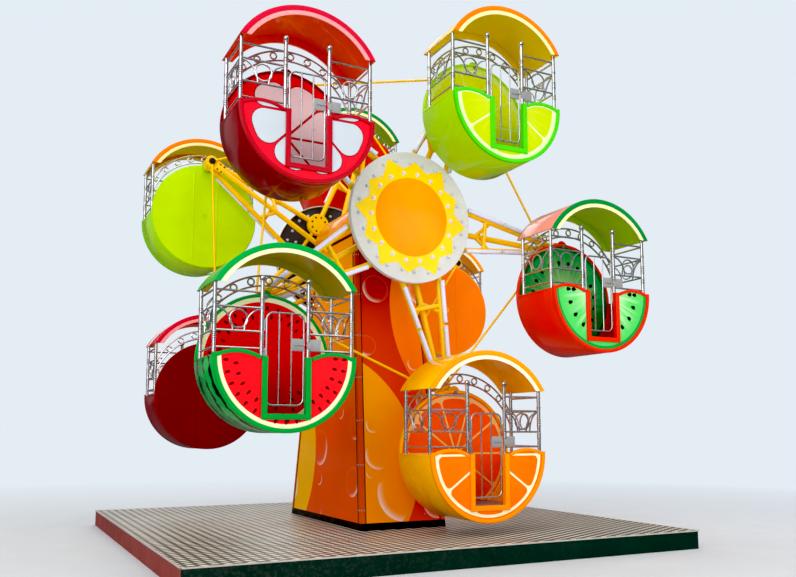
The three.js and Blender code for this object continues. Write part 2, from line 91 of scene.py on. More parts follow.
# %% Light
LAMPS = {
    "key": ((-12, -12, 10), 16, 1800),
    "fill": ((8, -14, 4), 12, 1000),
    "top": ((0, -1, 15), 12, 800),
    "back": ((3, 13, 9), 10, 500),
}
LAMP_AIM = Vector((0, 0, 3))
EXPOSURE = 0.08
BLACK_LEVEL = 0.018
view = bpy.context.scene.view_settings
view.view_transform = "Standard"
view.exposure = EXPOSURE
view.use_curve_mapping = True
view.curve_mapping.black_level = (BLACK_LEVEL, BLACK_LEVEL, BLACK_LEVEL)
view.curve_mapping.update()
for name, (place, width, power) in LAMPS.items():
    glow = bpy.data.lights.new(name, "AREA")
    glow.size = width
    glow.energy = power
    lamp = bpy.data.objects.new(name, glow)
    lamp.location = place
    lamp.rotation_euler = (LAMP_AIM - Vector(place)).to_track_quat("-Z", "Y").to_euler()
    lamp.visible_glossy = name != "fill"
    bpy.context.scene.collection.objects.link(lamp)
print("lamps:", list(LAMPS))

# %% [markdown]
# ## Shared surface effects
# Every finish needs the same few things: a colour that drifts a little, a gloss that is not even,
# a sheet that is not perfectly flat, dust where rain leaves it and wear at the edges.
# Each is a small node group, so a material only picks its own values.

# %% Group helpers
FLOAT = "NodeSocketFloat"
COLOUR = "NodeSocketColor"
VECTOR = "NodeSocketVector"
WHITE = (1, 1, 1, 1)


def new_group(name, inputs, outputs):
    """Start a node group. Gives the group, what is put into it, and what it puts out."""
    group = bpy.data.node_groups.new(name, "ShaderNodeTree")
    for label, kind, value in inputs:
        socket = group.interface.new_socket(label, in_out="INPUT", socket_type=kind)
        socket.default_value = value
    for label, kind in outputs:
        group.interface.new_socket(label, in_out="OUTPUT", socket_type=kind)
    return group, group.nodes.new("NodeGroupInput").outputs, group.nodes.new("NodeGroupOutput").inputs


def feed(tree, socket, value):
    """Link a socket to another node, or set a plain value on it."""
    if isinstance(value, bpy.types.NodeSocket):
        tree.links.new(value, socket)
    else:
        socket.default_value = value


def join(tree, node, values):
    for key, value in values.items():
        feed(tree, node.inputs[key], value)


def add_node(tree, kind, values=None, **settings):
    node = tree.nodes.new(kind)
    for key, value in settings.items():
        setattr(node, key, value)
    join(tree, node, values or {})
    return node


def calculate(tree, operation, first, second=0.0):
    return add_node(tree, "ShaderNodeMath", {0: first, 1: second}, operation=operation).outputs[0]


def calculate_vector(tree, operation, *values):
    return add_node(tree, "ShaderNodeVectorMath", dict(enumerate(values)), operation=operation).outputs


def stretch(tree, value, low, high, to_low=0.0, to_high=1.0):
    limits = {"Value": value, "From Min": low, "From Max": high, "To Min": to_low, "To Max": to_high}
    return add_node(tree, "ShaderNodeMapRange", limits).outputs["Result"]


def blend_colours(tree, share, first, second):
    return add_node(tree, "ShaderNodeMix", {0: share, 6: first, 7: second}, data_type="RGBA").outputs[2]


def object_place(tree):
    return add_node(tree, "ShaderNodeTexCoord").outputs["Object"]


def split(tree, vector):
    return add_node(tree, "ShaderNodeSeparateXYZ", {"Vector": vector}).outputs


def object_noise(tree, scale, detail=2.0, roughness=0.5):
    values = {"Vector": object_place(tree), "Scale": scale, "Detail": detail, "Roughness": roughness}
    return add_node(tree, "ShaderNodeTexNoise", values).outputs["Fac"]


def bump_from(tree, height):
    return add_node(tree, "ShaderNodeBump", {"Distance": 1.0, "Height": height}).outputs["Normal"]


# %% Group: colour that drifts
tone, given, result = new_group(
    "drifting_tone",
    [("Colour", COLOUR, WHITE), ("Patch", FLOAT, 2.0), ("Drift", FLOAT, 0.08)],
    [("Colour", COLOUR)],
)
lowest = calculate(tone, "SUBTRACT", 1.0, given["Drift"])
highest = calculate(tone, "ADD", 1.0, given["Drift"])
level = stretch(tone, object_noise(tone, given["Patch"], 3.0), 0.3, 0.7, lowest, highest)
shift = add_node(tone, "ShaderNodeHueSaturation", {"Value": level, "Color": given["Colour"]})
feed(tone, result["Colour"], shift.outputs["Color"])

# %% Group: gloss that is not even
gloss, given, result = new_group(
    "uneven_gloss",
    [("Roughness", FLOAT, 0.2), ("Spread", FLOAT, 0.08), ("Patch", FLOAT, 5.0)],
    [("Roughness", FLOAT)],
)
smudges = object_noise(gloss, given["Patch"], 4.0, 0.65)
most = calculate(gloss, "ADD", given["Roughness"], given["Spread"])
feed(gloss, result["Roughness"], stretch(gloss, smudges, 0.35, 0.75, given["Roughness"], most))

# %% Group: a sheet that is not quite flat
GRAIN_SCALE = 260.0
wavy, given, result = new_group(
    "wavy_sheet",
    [("Height", FLOAT, 0.001), ("Wave", FLOAT, 3.0), ("Grain", FLOAT, 0.0)],
    [("Normal", VECTOR)],
)
swell = calculate(wavy, "MULTIPLY", object_noise(wavy, given["Wave"], 1.0), given["Height"])
grain = calculate(wavy, "MULTIPLY", object_noise(wavy, GRAIN_SCALE), given["Grain"])
feed(wavy, result["Normal"], bump_from(wavy, calculate(wavy, "ADD", swell, grain)))

# %% Group: dust that rain leaves on top
dust, given, result = new_group(
    "settled_dust",
    [("Colour", COLOUR, WHITE), ("Dust", COLOUR, (0.45, 0.42, 0.38, 1)), ("Amount", FLOAT, 0.3)],
    [("Colour", COLOUR)],
)
normal = add_node(dust, "ShaderNodeNewGeometry").outputs["Normal"]
upward = stretch(dust, split(dust, normal)["Z"], 0.2, 1.0)
patchy = stretch(dust, object_noise(dust, 7.0, 6.0, 0.7), 0.42, 0.72)
cover = calculate(dust, "MULTIPLY", upward, patchy)
share = calculate(dust, "MULTIPLY", cover, given["Amount"])
feed(dust, result["Colour"], blend_colours(dust, share, given["Colour"], given["Dust"]))

# %% Group: paint worn at its edges
worn, given, result = new_group(
    "worn_edges",
    [("Colour", COLOUR, WHITE), ("Under", COLOUR, (0.25, 0.2, 0.17, 1)), ("Amount", FLOAT, 0.4)],
    [("Colour", COLOUR)],
)
edge = stretch(worn, add_node(worn, "ShaderNodeNewGeometry").outputs["Pointiness"], 0.53, 0.6)
chips = stretch(worn, object_noise(worn, 38.0, 5.0, 0.7), 0.5, 0.6)
bare = calculate(worn, "MULTIPLY", calculate(worn, "MULTIPLY", edge, chips), given["Amount"])
feed(worn, result["Colour"], blend_colours(worn, bare, given["Colour"], given["Under"]))
print("node groups:", [group.name for group in bpy.data.node_groups])

# %% [markdown]
# ## One recipe for paint, fibreglass and metal
# Fibreglass has a clear coat over a flat colour, paint is thinner and duller, and metal has no coat.
# One function builds all three from the groups, and each part then names its own finish.

# %% Finish recipe
FIBREGLASS = {"wave_size": 1.6, "shine": 0.1, "coat": 0.45}


def srgb(red, green, blue):
    def linear(value):
        value = value / 255
        return value / 12.92 if value <= 0.04045 else ((value + 0.055) / 1.055) ** 2.4
    return (linear(red), linear(green), linear(blue), 1)


def use_group(tree, group, **values):
    return add_node(tree, "ShaderNodeGroup", values, node_tree=group).outputs


def start_finish(name):
    material = bpy.data.materials.new(name)
    material.use_nodes = True
    return material, material.node_tree, material.node_tree.nodes["Principled BSDF"]


def weathered(tree, colour, drift=0.06, patch=2.0, wear=0.0, dusty=0.0):
    """Let a colour drift, and then wear it at the edges and dust it on top where that is asked for."""
    colour = use_group(tree, tone, Colour=colour, Patch=patch, Drift=drift)["Colour"]
    if wear:
        colour = use_group(tree, worn, Colour=colour, Amount=wear)["Colour"]
    if dusty:
        colour = use_group(tree, dust, Colour=colour, Amount=dusty)["Colour"]
    return colour


def surface(tree, shader, colour, rough, spread=0.1, wave=0.0, wave_size=3.0, grain=0.0,
            shine=0.5, coat=0.0, coat_rough=0.06, metal=0.0):
    """Join a colour to the shader, with an uneven gloss, a bump and a clear coat."""
    join(tree, shader, {
        "Base Color": colour,
        "Roughness": use_group(tree, gloss, Roughness=rough, Spread=spread)["Roughness"],
        "Normal": use_group(tree, wavy, Height=wave, Wave=wave_size, Grain=grain)["Normal"],
        "Metallic": metal,
        "Specular IOR Level": shine,
        "Coat Weight": coat,
        "Coat Roughness": coat_rough,
    })


def finish(name, colour, rough=0.2, drift=0.06, wear=0.0, dusty=0.0, **sheen):
    material, tree, shader = start_finish(name)
    surface(tree, shader, weathered(tree, colour, drift, wear=wear, dusty=dusty), rough, **sheen)
    return material


def fibreglass(name, colour, wave=0.004):
    return finish(name, colour, rough=0.3, dusty=0.04, wave=wave, **FIBREGLASS)


# %% [markdown]
# ## The studio
# A plain pale floor catches a soft shadow and shows where the deck rests. The walls are plain and pale
# to the eye, but polished steel shows its shape only when it mirrors light and dark. So the gloss sees
# a dim sky above, grey panels of uneven tone at eye height, and a dark floor.
# The floor glows faintly for diffuse rays, because pale ground lights the undersides of the cabins.
# Far off it fades into the wall's colour, so that no edge is seen.

# %% Studio walls
SKY_LIGHT = (0.84, 0.90, 1.0, 1)
BACKDROP = (0.74, 0.80, 0.86, 1)
MIRRORED_SKY = (0.50, 0.56, 0.64, 1)
PANEL_DARK = (0.05, 0.055, 0.055, 1)
PANEL_PALE = (0.52, 0.55, 0.58, 1)
PANEL_SCALE = 2.6
SKY_STRENGTH = 0.62
world = bpy.data.worlds.new("studio")
world.use_nodes = True
walls = world.node_tree
heading = add_node(walls, "ShaderNodeTexCoord").outputs["Generated"]
panels = add_node(walls, "ShaderNodeTexNoise", {"Vector": heading, "Scale": PANEL_SCALE, "Detail": 2.0})
panel_share = stretch(walls, panels.outputs["Fac"], 0.44, 0.56)
panel_tone = blend_colours(walls, panel_share, PANEL_DARK, PANEL_PALE)
overhead = stretch(walls, split(walls, heading)["Z"], 0.30, 0.62)
mirrored = blend_colours(walls, overhead, panel_tone, MIRRORED_SKY)
ray = add_node(walls, "ShaderNodeLightPath").outputs
lighting = blend_colours(walls, ray["Is Glossy Ray"], SKY_LIGHT, mirrored)
join(walls, walls.nodes["Background"], {
    "Color": blend_colours(walls, ray["Is Camera Ray"], lighting, BACKDROP),
    "Strength": stretch(walls, ray["Is Camera Ray"], 0.0, 1.0, SKY_STRENGTH, 1.0),
})
bpy.context.scene.world = world
print("studio walls:", len(walls.nodes), "nodes")

# %% Studio floor
FLOOR_REACH = 60
FLOOR_TONE = srgb(206, 207, 206)
MIRRORED_FLOOR = srgb(96, 95, 94)
BLACK = (0, 0, 0, 1)
GROUND_GLOW = 0.30
HORIZON = (4.5, 13)
plain = bmesh.new()
bmesh.ops.create_grid(plain, x_segments=1, y_segments=1, size=FLOOR_REACH)
studio_mesh = bpy.data.meshes.new("studio_floor")
plain.to_mesh(studio_mesh)
plain.free()
pale_floor, tree, shader = start_finish("pale_floor")
ray = add_node(tree, "ShaderNodeLightPath").outputs
away = calculate_vector(tree, "LENGTH", object_place(tree))["Value"]
horizon = calculate(tree, "MULTIPLY", stretch(tree, away, *HORIZON), ray["Is Camera Ray"])
floor_colour = blend_colours(tree, ray["Is Glossy Ray"], FLOOR_TONE, MIRRORED_FLOOR)
floor_colour = blend_colours(tree, horizon, floor_colour, BLACK)
surface(tree, shader, weathered(tree, floor_colour, drift=0.02), 0.7, shine=0.0)
ground_glow = calculate(tree, "MULTIPLY", ray["Is Diffuse Ray"], GROUND_GLOW)
floor_glow = calculate(tree, "ADD", horizon, ground_glow)
join(tree, shader, {"Emission Color": BACKDROP, "Emission Strength": floor_glow})
studio_mesh.materials.append(pale_floor)
studio_floor = bpy.data.objects.new("studio_floor", studio_mesh)
bpy.context.scene.collection.objects.link(studio_floor)

# %% [markdown]
# ## Shape helpers
# The wheel's maker bends tube, cuts plate and turns round parts, and the helpers do the same:
# a rod, a bent tube, a hoop, a cut plate, a turned part and a band bent to an arc.
# Each gives a closed body. They are gathered into one mesh a piece, with the faces turned outwards.
# The drawings have x along the wheel and z up, and u is the distance out from the tower's middle.


# %% Moving and gathering shapes
def swing(angle):
    """Turn by an angle in the wheel's plane, from +x towards +z."""
    return Matrix.Rotation(-math.radians(angle), 4, "Y")


def about(angle):
    """Turn by an angle about the upright axis."""
    return Matrix.Rotation(math.radians(angle), 4, "Z")


def at(x=0, u=0, z=0):
    return Matrix.Translation((x, -u, z))


def moved(shape, place):
    bmesh.ops.transform(shape, matrix=place, verts=shape.verts[:])
    return shape


def placed(mesh, place):
    """A shape again from a finished mesh, at another place."""
    shape = bmesh.new()
    shape.from_mesh(mesh)
    return moved(shape, place)


def repeat(shape, places):
    once = bpy.data.meshes.new("once")
    shape.to_mesh(once)
    shape.free()
    whole = bmesh.new()
    for place in places:
        step = once.copy()
        step.transform(place)
        whole.from_mesh(step)
        bpy.data.meshes.remove(step)
    bpy.data.meshes.remove(once)
    return whole


def gather(*shapes):
    whole = bmesh.new()
    for shape in shapes:
        step = bpy.data.meshes.new("step")
        shape.to_mesh(step)
        shape.free()
        whole.from_mesh(step)
        bpy.data.meshes.remove(step)
    bmesh.ops.recalc_face_normals(whole, faces=whole.faces[:])
    mesh = bpy.data.meshes.new("gathered")
    whole.to_mesh(mesh)
    whole.free()
    return mesh


def fit(name, mesh, material, body, place=None, slot=None, crease=32):
    """Make a piece from a copy of a mesh, put it in place and let it ride on its body."""
    own = mesh.copy()
    own.name = name
    if place:
        own.transform(place)
    own.materials.clear()
    own.materials.append(material)
    own.shade_smooth()
    own.set_sharp_from_angle(angle=math.radians(crease))
    piece = bpy.data.objects.new(name, own)
    bpy.context.scene.collection.objects.link(piece)
    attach(piece, body)
    return piece


def paint_nodes(material, *names):
    """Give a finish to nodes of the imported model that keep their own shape."""
    for name in names:
        mesh = frame["nodes"][name].data
        mesh.materials.clear()
        mesh.materials.append(material)


# %% Rods, tubes and hoops
def only(kind, parts):
    return [part for part in parts if isinstance(part, kind)]


def rod(start, end, radius, sides=12):
    start = Vector(start)
    along = Vector(end) - start
    shape = bmesh.new()
    place = Matrix.Translation(start + along / 2) @ along.to_track_quat("Z", "Y").to_matrix().to_4x4()
    bmesh.ops.create_cone(shape, cap_ends=True, segments=sides, radius1=radius, radius2=radius,
                          depth=along.length, matrix=place)
    return shape


def tube(points, radius, sides=8, closed=False):
    """A bent tube: a ring of edges is extruded from point to point and turned to follow them."""
    points = [Vector(point) for point in points]
    last = len(points) - 1
    places = []
    for i, point in enumerate(points):
        ahead = points[(i + 1) % (last + 1)] if closed else points[min(i + 1, last)]
        behind = points[i - 1] if closed else points[max(i - 1, 0)]
        along = (ahead - behind).normalized()
        if i == 0:
            turn = along.to_track_quat("Z", "Y")
        else:
            turn = before.rotation_difference(along) @ turn
        before = along
        places.append(Matrix.Translation(point) @ turn.to_matrix().to_4x4())
    shape = bmesh.new()
    bmesh.ops.create_circle(shape, cap_ends=not closed, segments=sides, radius=radius, matrix=places[0])
    first = ring = shape.edges[:]
    for i in range(1, last + 1):
        grown = bmesh.ops.extrude_edge_only(shape, edges=ring)["geom"]
        corners = set(only(bmesh.types.BMVert, grown))
        ring = [edge for edge in only(bmesh.types.BMEdge, grown) if set(edge.verts) <= corners]
        bmesh.ops.transform(shape, matrix=places[i] @ places[i - 1].inverted(), verts=list(corners))
    if closed:
        bmesh.ops.bridge_loops(shape, edges=first + ring)
    else:
        bmesh.ops.contextual_create(shape, geom=ring)
    return shape


def arc_points(radius, x, z, start, end, steps, u=0.0, tall=None):
    """Points on an arc, or on an ellipse where tall gives its height, in degrees."""
    tall = radius if tall is None else tall
    angles = [math.radians(start + (end - start) * i / steps) for i in range(steps + 1)]
    return [(x + radius * math.cos(a), -u, z + tall * math.sin(a)) for a in angles]


def flat(points):
    return [(x, z) for x, _, z in points]


def hoop(radius, wire, steps=40, sides=8):
    shape = bmesh.new()
    bmesh.ops.create_circle(shape, segments=sides, radius=wire, matrix=at(radius))
    bmesh.ops.spin(shape, geom=shape.verts[:] + shape.edges[:], cent=(0, 0, 0), axis=(0, 1, 0),
                   angle=2 * math.pi, steps=steps, use_merge=True)
    return shape


# %% Turned parts, bands and plates
def turned(profile, steps=24, axis="u"):
    """Spin a profile of (radius, along) points round an axis: u stands out of the wheel, z stands up."""
    shape = bmesh.new()
    upright = axis == "z"
    corners = [shape.verts.new((r, 0, a) if upright else (r, -a, 0)) for r, a in profile]
    for low, high in zip(corners, corners[1:]):
        shape.edges.new((low, high))
    bmesh.ops.spin(shape, geom=shape.verts[:] + shape.edges[:], cent=(0, 0, 0),
                   axis=(0, 0, 1) if upright else (0, 1, 0), angle=2 * math.pi, steps=steps, use_merge=True)
    bmesh.ops.remove_doubles(shape, verts=shape.verts[:], dist=1e-6)
    return shape


def round_plate(radius, back, front, steps, edge=0.0):
    """A turned disc, with both its edges broken by a width."""
    rounded = [(radius - edge, back), (radius, back + edge), (radius, front - edge), (radius - edge, front)]
    square = [(radius, back), (radius, front)]
    return turned([(0, back)] + (rounded if edge else square) + [(0, front)], steps)


def band(inner, outer, back, front, start, end, steps, rounding=0.004):
    """A flat bar bent to an arc: a rounded section spun round the arc's middle."""
    shape = bmesh.new()
    middle = at((inner + outer) / 2, (back + front) / 2)
    size = Matrix.Diagonal((outer - inner, front - back, 1, 1))
    bmesh.ops.create_grid(shape, x_segments=1, y_segments=1, size=0.5, matrix=middle @ size)
    if rounding:
        bmesh.ops.bevel(shape, geom=shape.verts[:], offset=rounding, segments=2, profile=0.5,
                        affect="VERTICES", material=-1)
    moved(shape, swing(start))
    whole_turn = end - start >= 360
    section = shape.verts[:] + shape.edges[:]
    if whole_turn:
        bmesh.ops.delete(shape, geom=shape.faces[:], context="FACES_ONLY")
    else:
        section += shape.faces[:]
    bmesh.ops.spin(shape, geom=section, cent=(0, 0, 0), axis=(0, -1, 0), angle=math.radians(end - start),
                   steps=steps, use_merge=whole_turn)
    return shape


def plate(outline, back, front, rounding=0.0, segments=2):
    """A flat outline of (x, z) points cut from sheet, with its front edge rounded."""
    shape = bmesh.new()
    face = shape.faces.new([shape.verts.new((x, -back, z)) for x, z in outline])
    grown = bmesh.ops.extrude_face_region(shape, geom=[face])["geom"]
    bmesh.ops.translate(shape, verts=only(bmesh.types.BMVert, grown), vec=(0, back - front, 0))
    if rounding:
        cap = only(bmesh.types.BMFace, grown)[0]
        bmesh.ops.bevel(shape, geom=cap.edges[:], offset=rounding, segments=segments, profile=0.5,
                        affect="EDGES", material=-1, clamp_overlap=True)
    return shape


def bar(low, high, rounding=0.002):
    """A straight flat bar between two corners, with every edge broken."""
    low, high = Vector(low), Vector(high)
    shape = bmesh.new()
    place = Matrix.Translation((low + high) / 2) @ Matrix.Diagonal((*(high - low), 1))
    bmesh.ops.create_cube(shape, size=1, matrix=place)
    bmesh.ops.bevel(shape, geom=shape.edges[:], offset=rounding, segments=2, profile=0.5,
                    affect="EDGES", material=-1)
    return shape


def cut_level(shape, z):
    """Cut off what lies below a height, and close the cut."""
    cut = bmesh.ops.bisect_plane(shape, geom=shape.verts[:] + shape.edges[:] + shape.faces[:],
                                 plane_co=(0, 0, z), plane_no=(0, 0, -1), clear_outer=True)
    bmesh.ops.holes_fill(shape, edges=only(bmesh.types.BMEdge, cut["geom_cut"]), sides=0)
    return shape


# %% Trimming one mesh to the room inside another
def trim(mesh, room):
    part = bpy.data.objects.new("part", mesh)
    tool = bpy.data.objects.new("tool", room)
    for thing in (part, tool):
        bpy.context.scene.collection.objects.link(thing)
    cutter = part.modifiers.new("cut", "BOOLEAN")
    cutter.operation = "INTERSECT"
    cutter.object = tool
    cutter.solver = "EXACT"
    result = bpy.data.meshes.new_from_object(part.evaluated_get(bpy.context.evaluated_depsgraph_get()))
    bpy.data.objects.remove(part)
    bpy.data.objects.remove(tool)
    return result


# %% [markdown]
# ## The deck
# The deck is galvanised tread plate on a painted channel frame. The plate's raised bars are only
# a few millimetres long and there are thousands, so they are a bump in the finish. Their tops are
# painted near white as a painted highlight, and the hollows between them darker as painted shade.
# The channel is dark green at the front and red-brown on the other sides.
# A thin pale angle runs round the top edge, and that is real geometry because its shadow shows.

# %% Group: raised tread bars
treads, given, result = new_group(
    "tread_bars",
    [("Pitch", FLOAT, 0.04), ("Height", FLOAT, 0.002)],
    [("Raised", FLOAT), ("Normal", VECTOR)],
)
scaled = split(treads, calculate_vector(treads, "DIVIDE", object_place(treads), given["Pitch"])["Vector"])
column = calculate(treads, "ABSOLUTE", calculate(treads, "FLOOR", scaled["X"]))
odd = calculate(treads, "MODULO", column, 2.0)
row = calculate(treads, "ADD", scaled["Y"], calculate(treads, "MULTIPLY", odd, 0.5))
squares = []
for value, narrowing in ((scaled["X"], 2.1), (row, 3.8)):
    from_middle = calculate(treads, "SUBTRACT", calculate(treads, "FRACT", value), 0.5)
    squares.append(calculate(treads, "POWER", calculate(treads, "MULTIPLY", from_middle, narrowing), 2.0))
far = calculate(treads, "SQRT", calculate(treads, "ADD", *squares))
raised = stretch(treads, far, 1.0, 0.6)
feed(treads, result["Raised"], raised)
feed(treads, result["Normal"], bump_from(treads, calculate(treads, "MULTIPLY", raised, given["Height"])))

# %% Deck finishes
TREAD_HEIGHT = 0.0025


def tread_finish(name, shaded_hollow, top, pitch):
    material, tree, shader = start_finish(name)
    bars = use_group(tree, treads, Pitch=pitch, Height=TREAD_HEIGHT)
    # The hollows are painted darker as painted shade, and the bar tops near white as a painted highlight.
    low = weathered(tree, shaded_hollow, drift=0.25, patch=1.3)
    join(tree, shader, {
        "Base Color": blend_colours(tree, bars["Raised"], low, top),
        "Roughness": use_group(tree, gloss, Roughness=0.34, Spread=0.25, Patch=2.5)["Roughness"],
        "Normal": bars["Normal"],
        "Metallic": 0.1,
    })
    return material


deck_tread = tread_finish("deck_tread", srgb(100, 90, 80), srgb(255, 249, 228), 0.10)
cabin_tread = tread_finish("cabin_tread", srgb(110, 112, 116), srgb(190, 192, 196), 0.03)
channel, tree, shader = start_finish("channel_paint")
deck_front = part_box("deck_frame")[0].y
at_front = stretch(tree, split(tree, object_place(tree))["Y"], deck_front + 0.004, deck_front + 0.002)
red_and_green = blend_colours(tree, at_front, srgb(150, 60, 50), srgb(12, 40, 28))
surface(tree, shader, weathered(tree, red_and_green, drift=0.14, wear=0.07, dusty=0.015), 0.5, spread=0.2)
pale_edge = finish("pale_edge", srgb(182, 176, 164), rough=0.4, drift=0.08, wear=0.6)
paint_nodes(deck_tread, "deck_plate")
paint_nodes(channel, "deck_frame")

# %% Deck edge
EDGE_BAR = 0.006
EDGE_STEP = 0.003
deck_low, deck_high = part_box("deck_plate")
edge_corners = [(deck_low.x, deck_low.y), (deck_high.x, deck_low.y), (deck_high.x, deck_high.y),
                (deck_low.x, deck_high.y)]
edge_bars = []
for (x0, y0), (x1, y1) in zip(edge_corners, edge_corners[1:] + edge_corners[:1]):
    low = (min(x0, x1) - EDGE_BAR, min(y0, y1) - EDGE_BAR, deck_low.z - EDGE_STEP)
    high = (max(x0, x1) + EDGE_BAR, max(y0, y1) + EDGE_BAR, deck_high.z + EDGE_STEP)
    edge_bars.append(bar(low, high))
fit("deck_edge", gather(*edge_bars), pale_edge, "base", slot="channel_paint")
print("deck", [round(v, 3) for v in deck_high - deck_low])

# %% [markdown]
# ## The tower
# Four printed sheets hang between painted corner strips, over a black skirt. The print here is a plain
# pattern of its own: a glow from deep red at the top to a warm yellow below, wide curved fields, and
# round bubbles that each catch a crescent of light. It is worked out from the place on the sheet,
# so it needs no picture. The bolts down the strips are small domed heads, and a dark rubber seam runs
# between each strip and its sheet. Both are real shapes, because the light catches them.

# %% Group: bubbles on the sheet
BUBBLE_LIGHT = (-0.75, -0.66, 0.0)
bubbles, given, result = new_group(
    "bubbles",
    [("Across", FLOAT, 0.0), ("Up", FLOAT, 0.0), ("Size", FLOAT, 0.5), ("Seed", FLOAT, 0.0)],
    [("Glow", FLOAT), ("Crescent", FLOAT)],
)
across = calculate(bubbles, "ADD", given["Across"], given["Seed"])
spot = add_node(bubbles, "ShaderNodeCombineXYZ", {"X": across, "Y": given["Up"]}).outputs["Vector"]
sized = calculate_vector(bubbles, "DIVIDE", spot, given["Size"])["Vector"]
cells = add_node(bubbles, "ShaderNodeTexVoronoi", {"Vector": sized, "Scale": 1.0, "Randomness": 0.8},
                 voronoi_dimensions="2D", feature="F1").outputs
chance = add_node(bubbles, "ShaderNodeSeparateColor", {"Color": cells["Color"]}).outputs["Red"]
radius = stretch(bubbles, chance, 0.3, 1.0, 0.02, 0.34)
share_out = calculate(bubbles, "DIVIDE", cells["Distance"], radius)
inside = stretch(bubbles, share_out, 1.0, 0.96)
rim = stretch(bubbles, share_out, 0.62, 1.0)
from_middle = calculate_vector(bubbles, "SUBTRACT", sized, cells["Position"])["Vector"]
lit = calculate_vector(bubbles, "DOT_PRODUCT", from_middle, BUBBLE_LIGHT)["Value"]
lit_side = stretch(bubbles, calculate(bubbles, "DIVIDE", lit, radius), 0.2, 0.95)
thin = calculate(bubbles, "MULTIPLY", calculate(bubbles, "POWER", rim, 2.0), lit_side)
feed(bubbles, result["Crescent"], calculate(bubbles, "MULTIPLY", thin, inside))
faint = calculate(bubbles, "POWER", rim, 5.0)
feed(bubbles, result["Glow"], calculate(bubbles, "MULTIPLY", faint, inside))

# %% Printed sheets
BUBBLE_GLOW = srgb(255, 176, 120)
CRESCENT_LIGHT = srgb(255, 246, 236)


def curved_field(tree, across, up, centre, radius, soft=0.004):
    """1 inside a large circle on the sheet, and 0 outside it."""
    squares = [calculate(tree, "POWER", calculate(tree, "SUBTRACT", value, middle), 2.0)
               for value, middle in zip((across, up), centre)]
    away = calculate(tree, "SQRT", calculate(tree, "ADD", *squares))
    return stretch(tree, away, radius, radius - soft)


def printed_sheet(name, axis, ground, fields, seed):
    """Ground is (low height, high height, low colour, high colour). Fields are painted one over the other."""
    material, tree, shader = start_finish(name)
    parts = split(tree, object_place(tree))
    across, up = parts[axis], parts["Z"]
    foot, head, low_colour, high_colour = ground
    ink = blend_colours(tree, stretch(tree, up, foot, head), low_colour, high_colour)
    for centre, radius, low, high in fields:
        own_rise = stretch(tree, up, centre[1] - radius, centre[1] + radius)
        inside = curved_field(tree, across, up, centre, radius)
        ink = blend_colours(tree, inside, ink, blend_colours(tree, own_rise, low, high))
    for size, shift in ((0.95, seed), (0.6, seed + 7.3)):
        drops = use_group(tree, bubbles, Across=across, Up=up, Size=size, Seed=shift)
        ink = blend_colours(tree, calculate(tree, "MULTIPLY", drops["Glow"], 0.3), ink, BUBBLE_GLOW)
        ink = blend_colours(tree, drops["Crescent"], ink, CRESCENT_LIGHT)
    surface(tree, shader, weathered(tree, ink, drift=0.05, patch=1.2), 0.32, wave=0.002, wave_size=1.4,
            shine=0.1, coat=0.1, coat_rough=0.1)
    return material


print_front = printed_sheet("print_front", "X", (1.6, 3.5, srgb(232, 70, 10), srgb(176, 22, 0)), [
    ((1.60, 2.75), 1.60, srgb(255, 112, 0), srgb(255, 140, 0)),
    ((-1.10, 0.95), 1.34, srgb(255, 140, 0), srgb(255, 164, 8)),
], 1.7)
print_side = printed_sheet("print_side", "Y", (1.5, 2.5, srgb(244, 86, 16), srgb(255, 146, 4)), [
    ((1.50, 1.00), 1.15, srgb(255, 188, 14), srgb(255, 176, 10)),
], 4.2)
paint_nodes(print_front, "tower_panel_front", "tower_panel_rear")
paint_nodes(print_side, "tower_panel_left", "tower_panel_right")
print("printed sheets:", print_front.name, print_side.name)

# %% Corner strips and skirt
SKIRT_TOP = 0.28
strip_paint, tree, shader = start_finish("corner_strip_paint")
height = split(tree, object_place(tree))["Z"]
low_down = stretch(tree, height, SKIRT_TOP + 0.002, SKIRT_TOP - 0.002)
strip_tone = blend_colours(tree, stretch(tree, height, 0.3, 3.7), srgb(222, 84, 14), srgb(196, 52, 8))
strip_colour = blend_colours(tree, low_down, strip_tone, srgb(26, 22, 22))
strip_worn = use_group(tree, worn, Colour=strip_colour, Amount=0.12)["Colour"]
surface(tree, shader, strip_worn, 0.32, spread=0.2, wave=0.001, shine=0.1, coat=0.1, coat_rough=0.03)
paint_nodes(strip_paint, "tower_frame")

# %% Bolts down the corner strips
TOWER_BASE = Vector((0.540, 1.140))
TOWER_TOP = Vector((0.420, 0.650))
TOWER_FOOT = 0.2
TOWER_HEIGHT = 3.3
TOWER_CORNERS = [(sign_x, sign_y, way) for sign_x in (1, -1) for sign_y in (1, -1) for way in (0, 1)]
BOLT_ROWS = [0.42 + row * 0.5 for row in range(7)]
BOLT_INSETS = (0.016, 0.048)
BOLT_R = 0.006


def by_corner(corner, z, inset):
    """A spot on the tower's skin, moved in from a corner: along x where way is 0, or y where it is 1."""
    sign_x, sign_y, way = corner
    half = TOWER_BASE.lerp(TOWER_TOP, (z - TOWER_FOOT) / TOWER_HEIGHT)
    spot = Vector((sign_x * half.x, sign_y * half.y, z))
    spot[way] -= (sign_x, sign_y)[way] * inset
    return spot


def bolt_head():
    """A washer and a low domed head, facing the front."""
    washer = BOLT_R * 1.5
    return turned([(0, -0.002), (washer, -0.002), (washer, 0.0012), (BOLT_R, 0.0012), (BOLT_R * 0.8, 0.0045),
                   (BOLT_R * 0.35, 0.006), (0, 0.006)], 10)


bolt_places = []
for z in BOLT_ROWS:
    for corner in TOWER_CORNERS:
        sign_x, sign_y, way = corner
        turn = about(90 * sign_x) if way else about(0 if sign_y < 0 else 180)
        bolt_places += [Matrix.Translation(by_corner(corner, z, inset)) @ turn for inset in BOLT_INSETS]
zinc = finish("zinc_bolts", srgb(205, 205, 205), rough=0.35, metal=0.9, drift=0.1, dusty=0.3)
fit("tower_bolts", gather(repeat(bolt_head(), bolt_places)), zinc, "base", slot="shaft_steel")
print("tower bolts:", len(bolt_places))

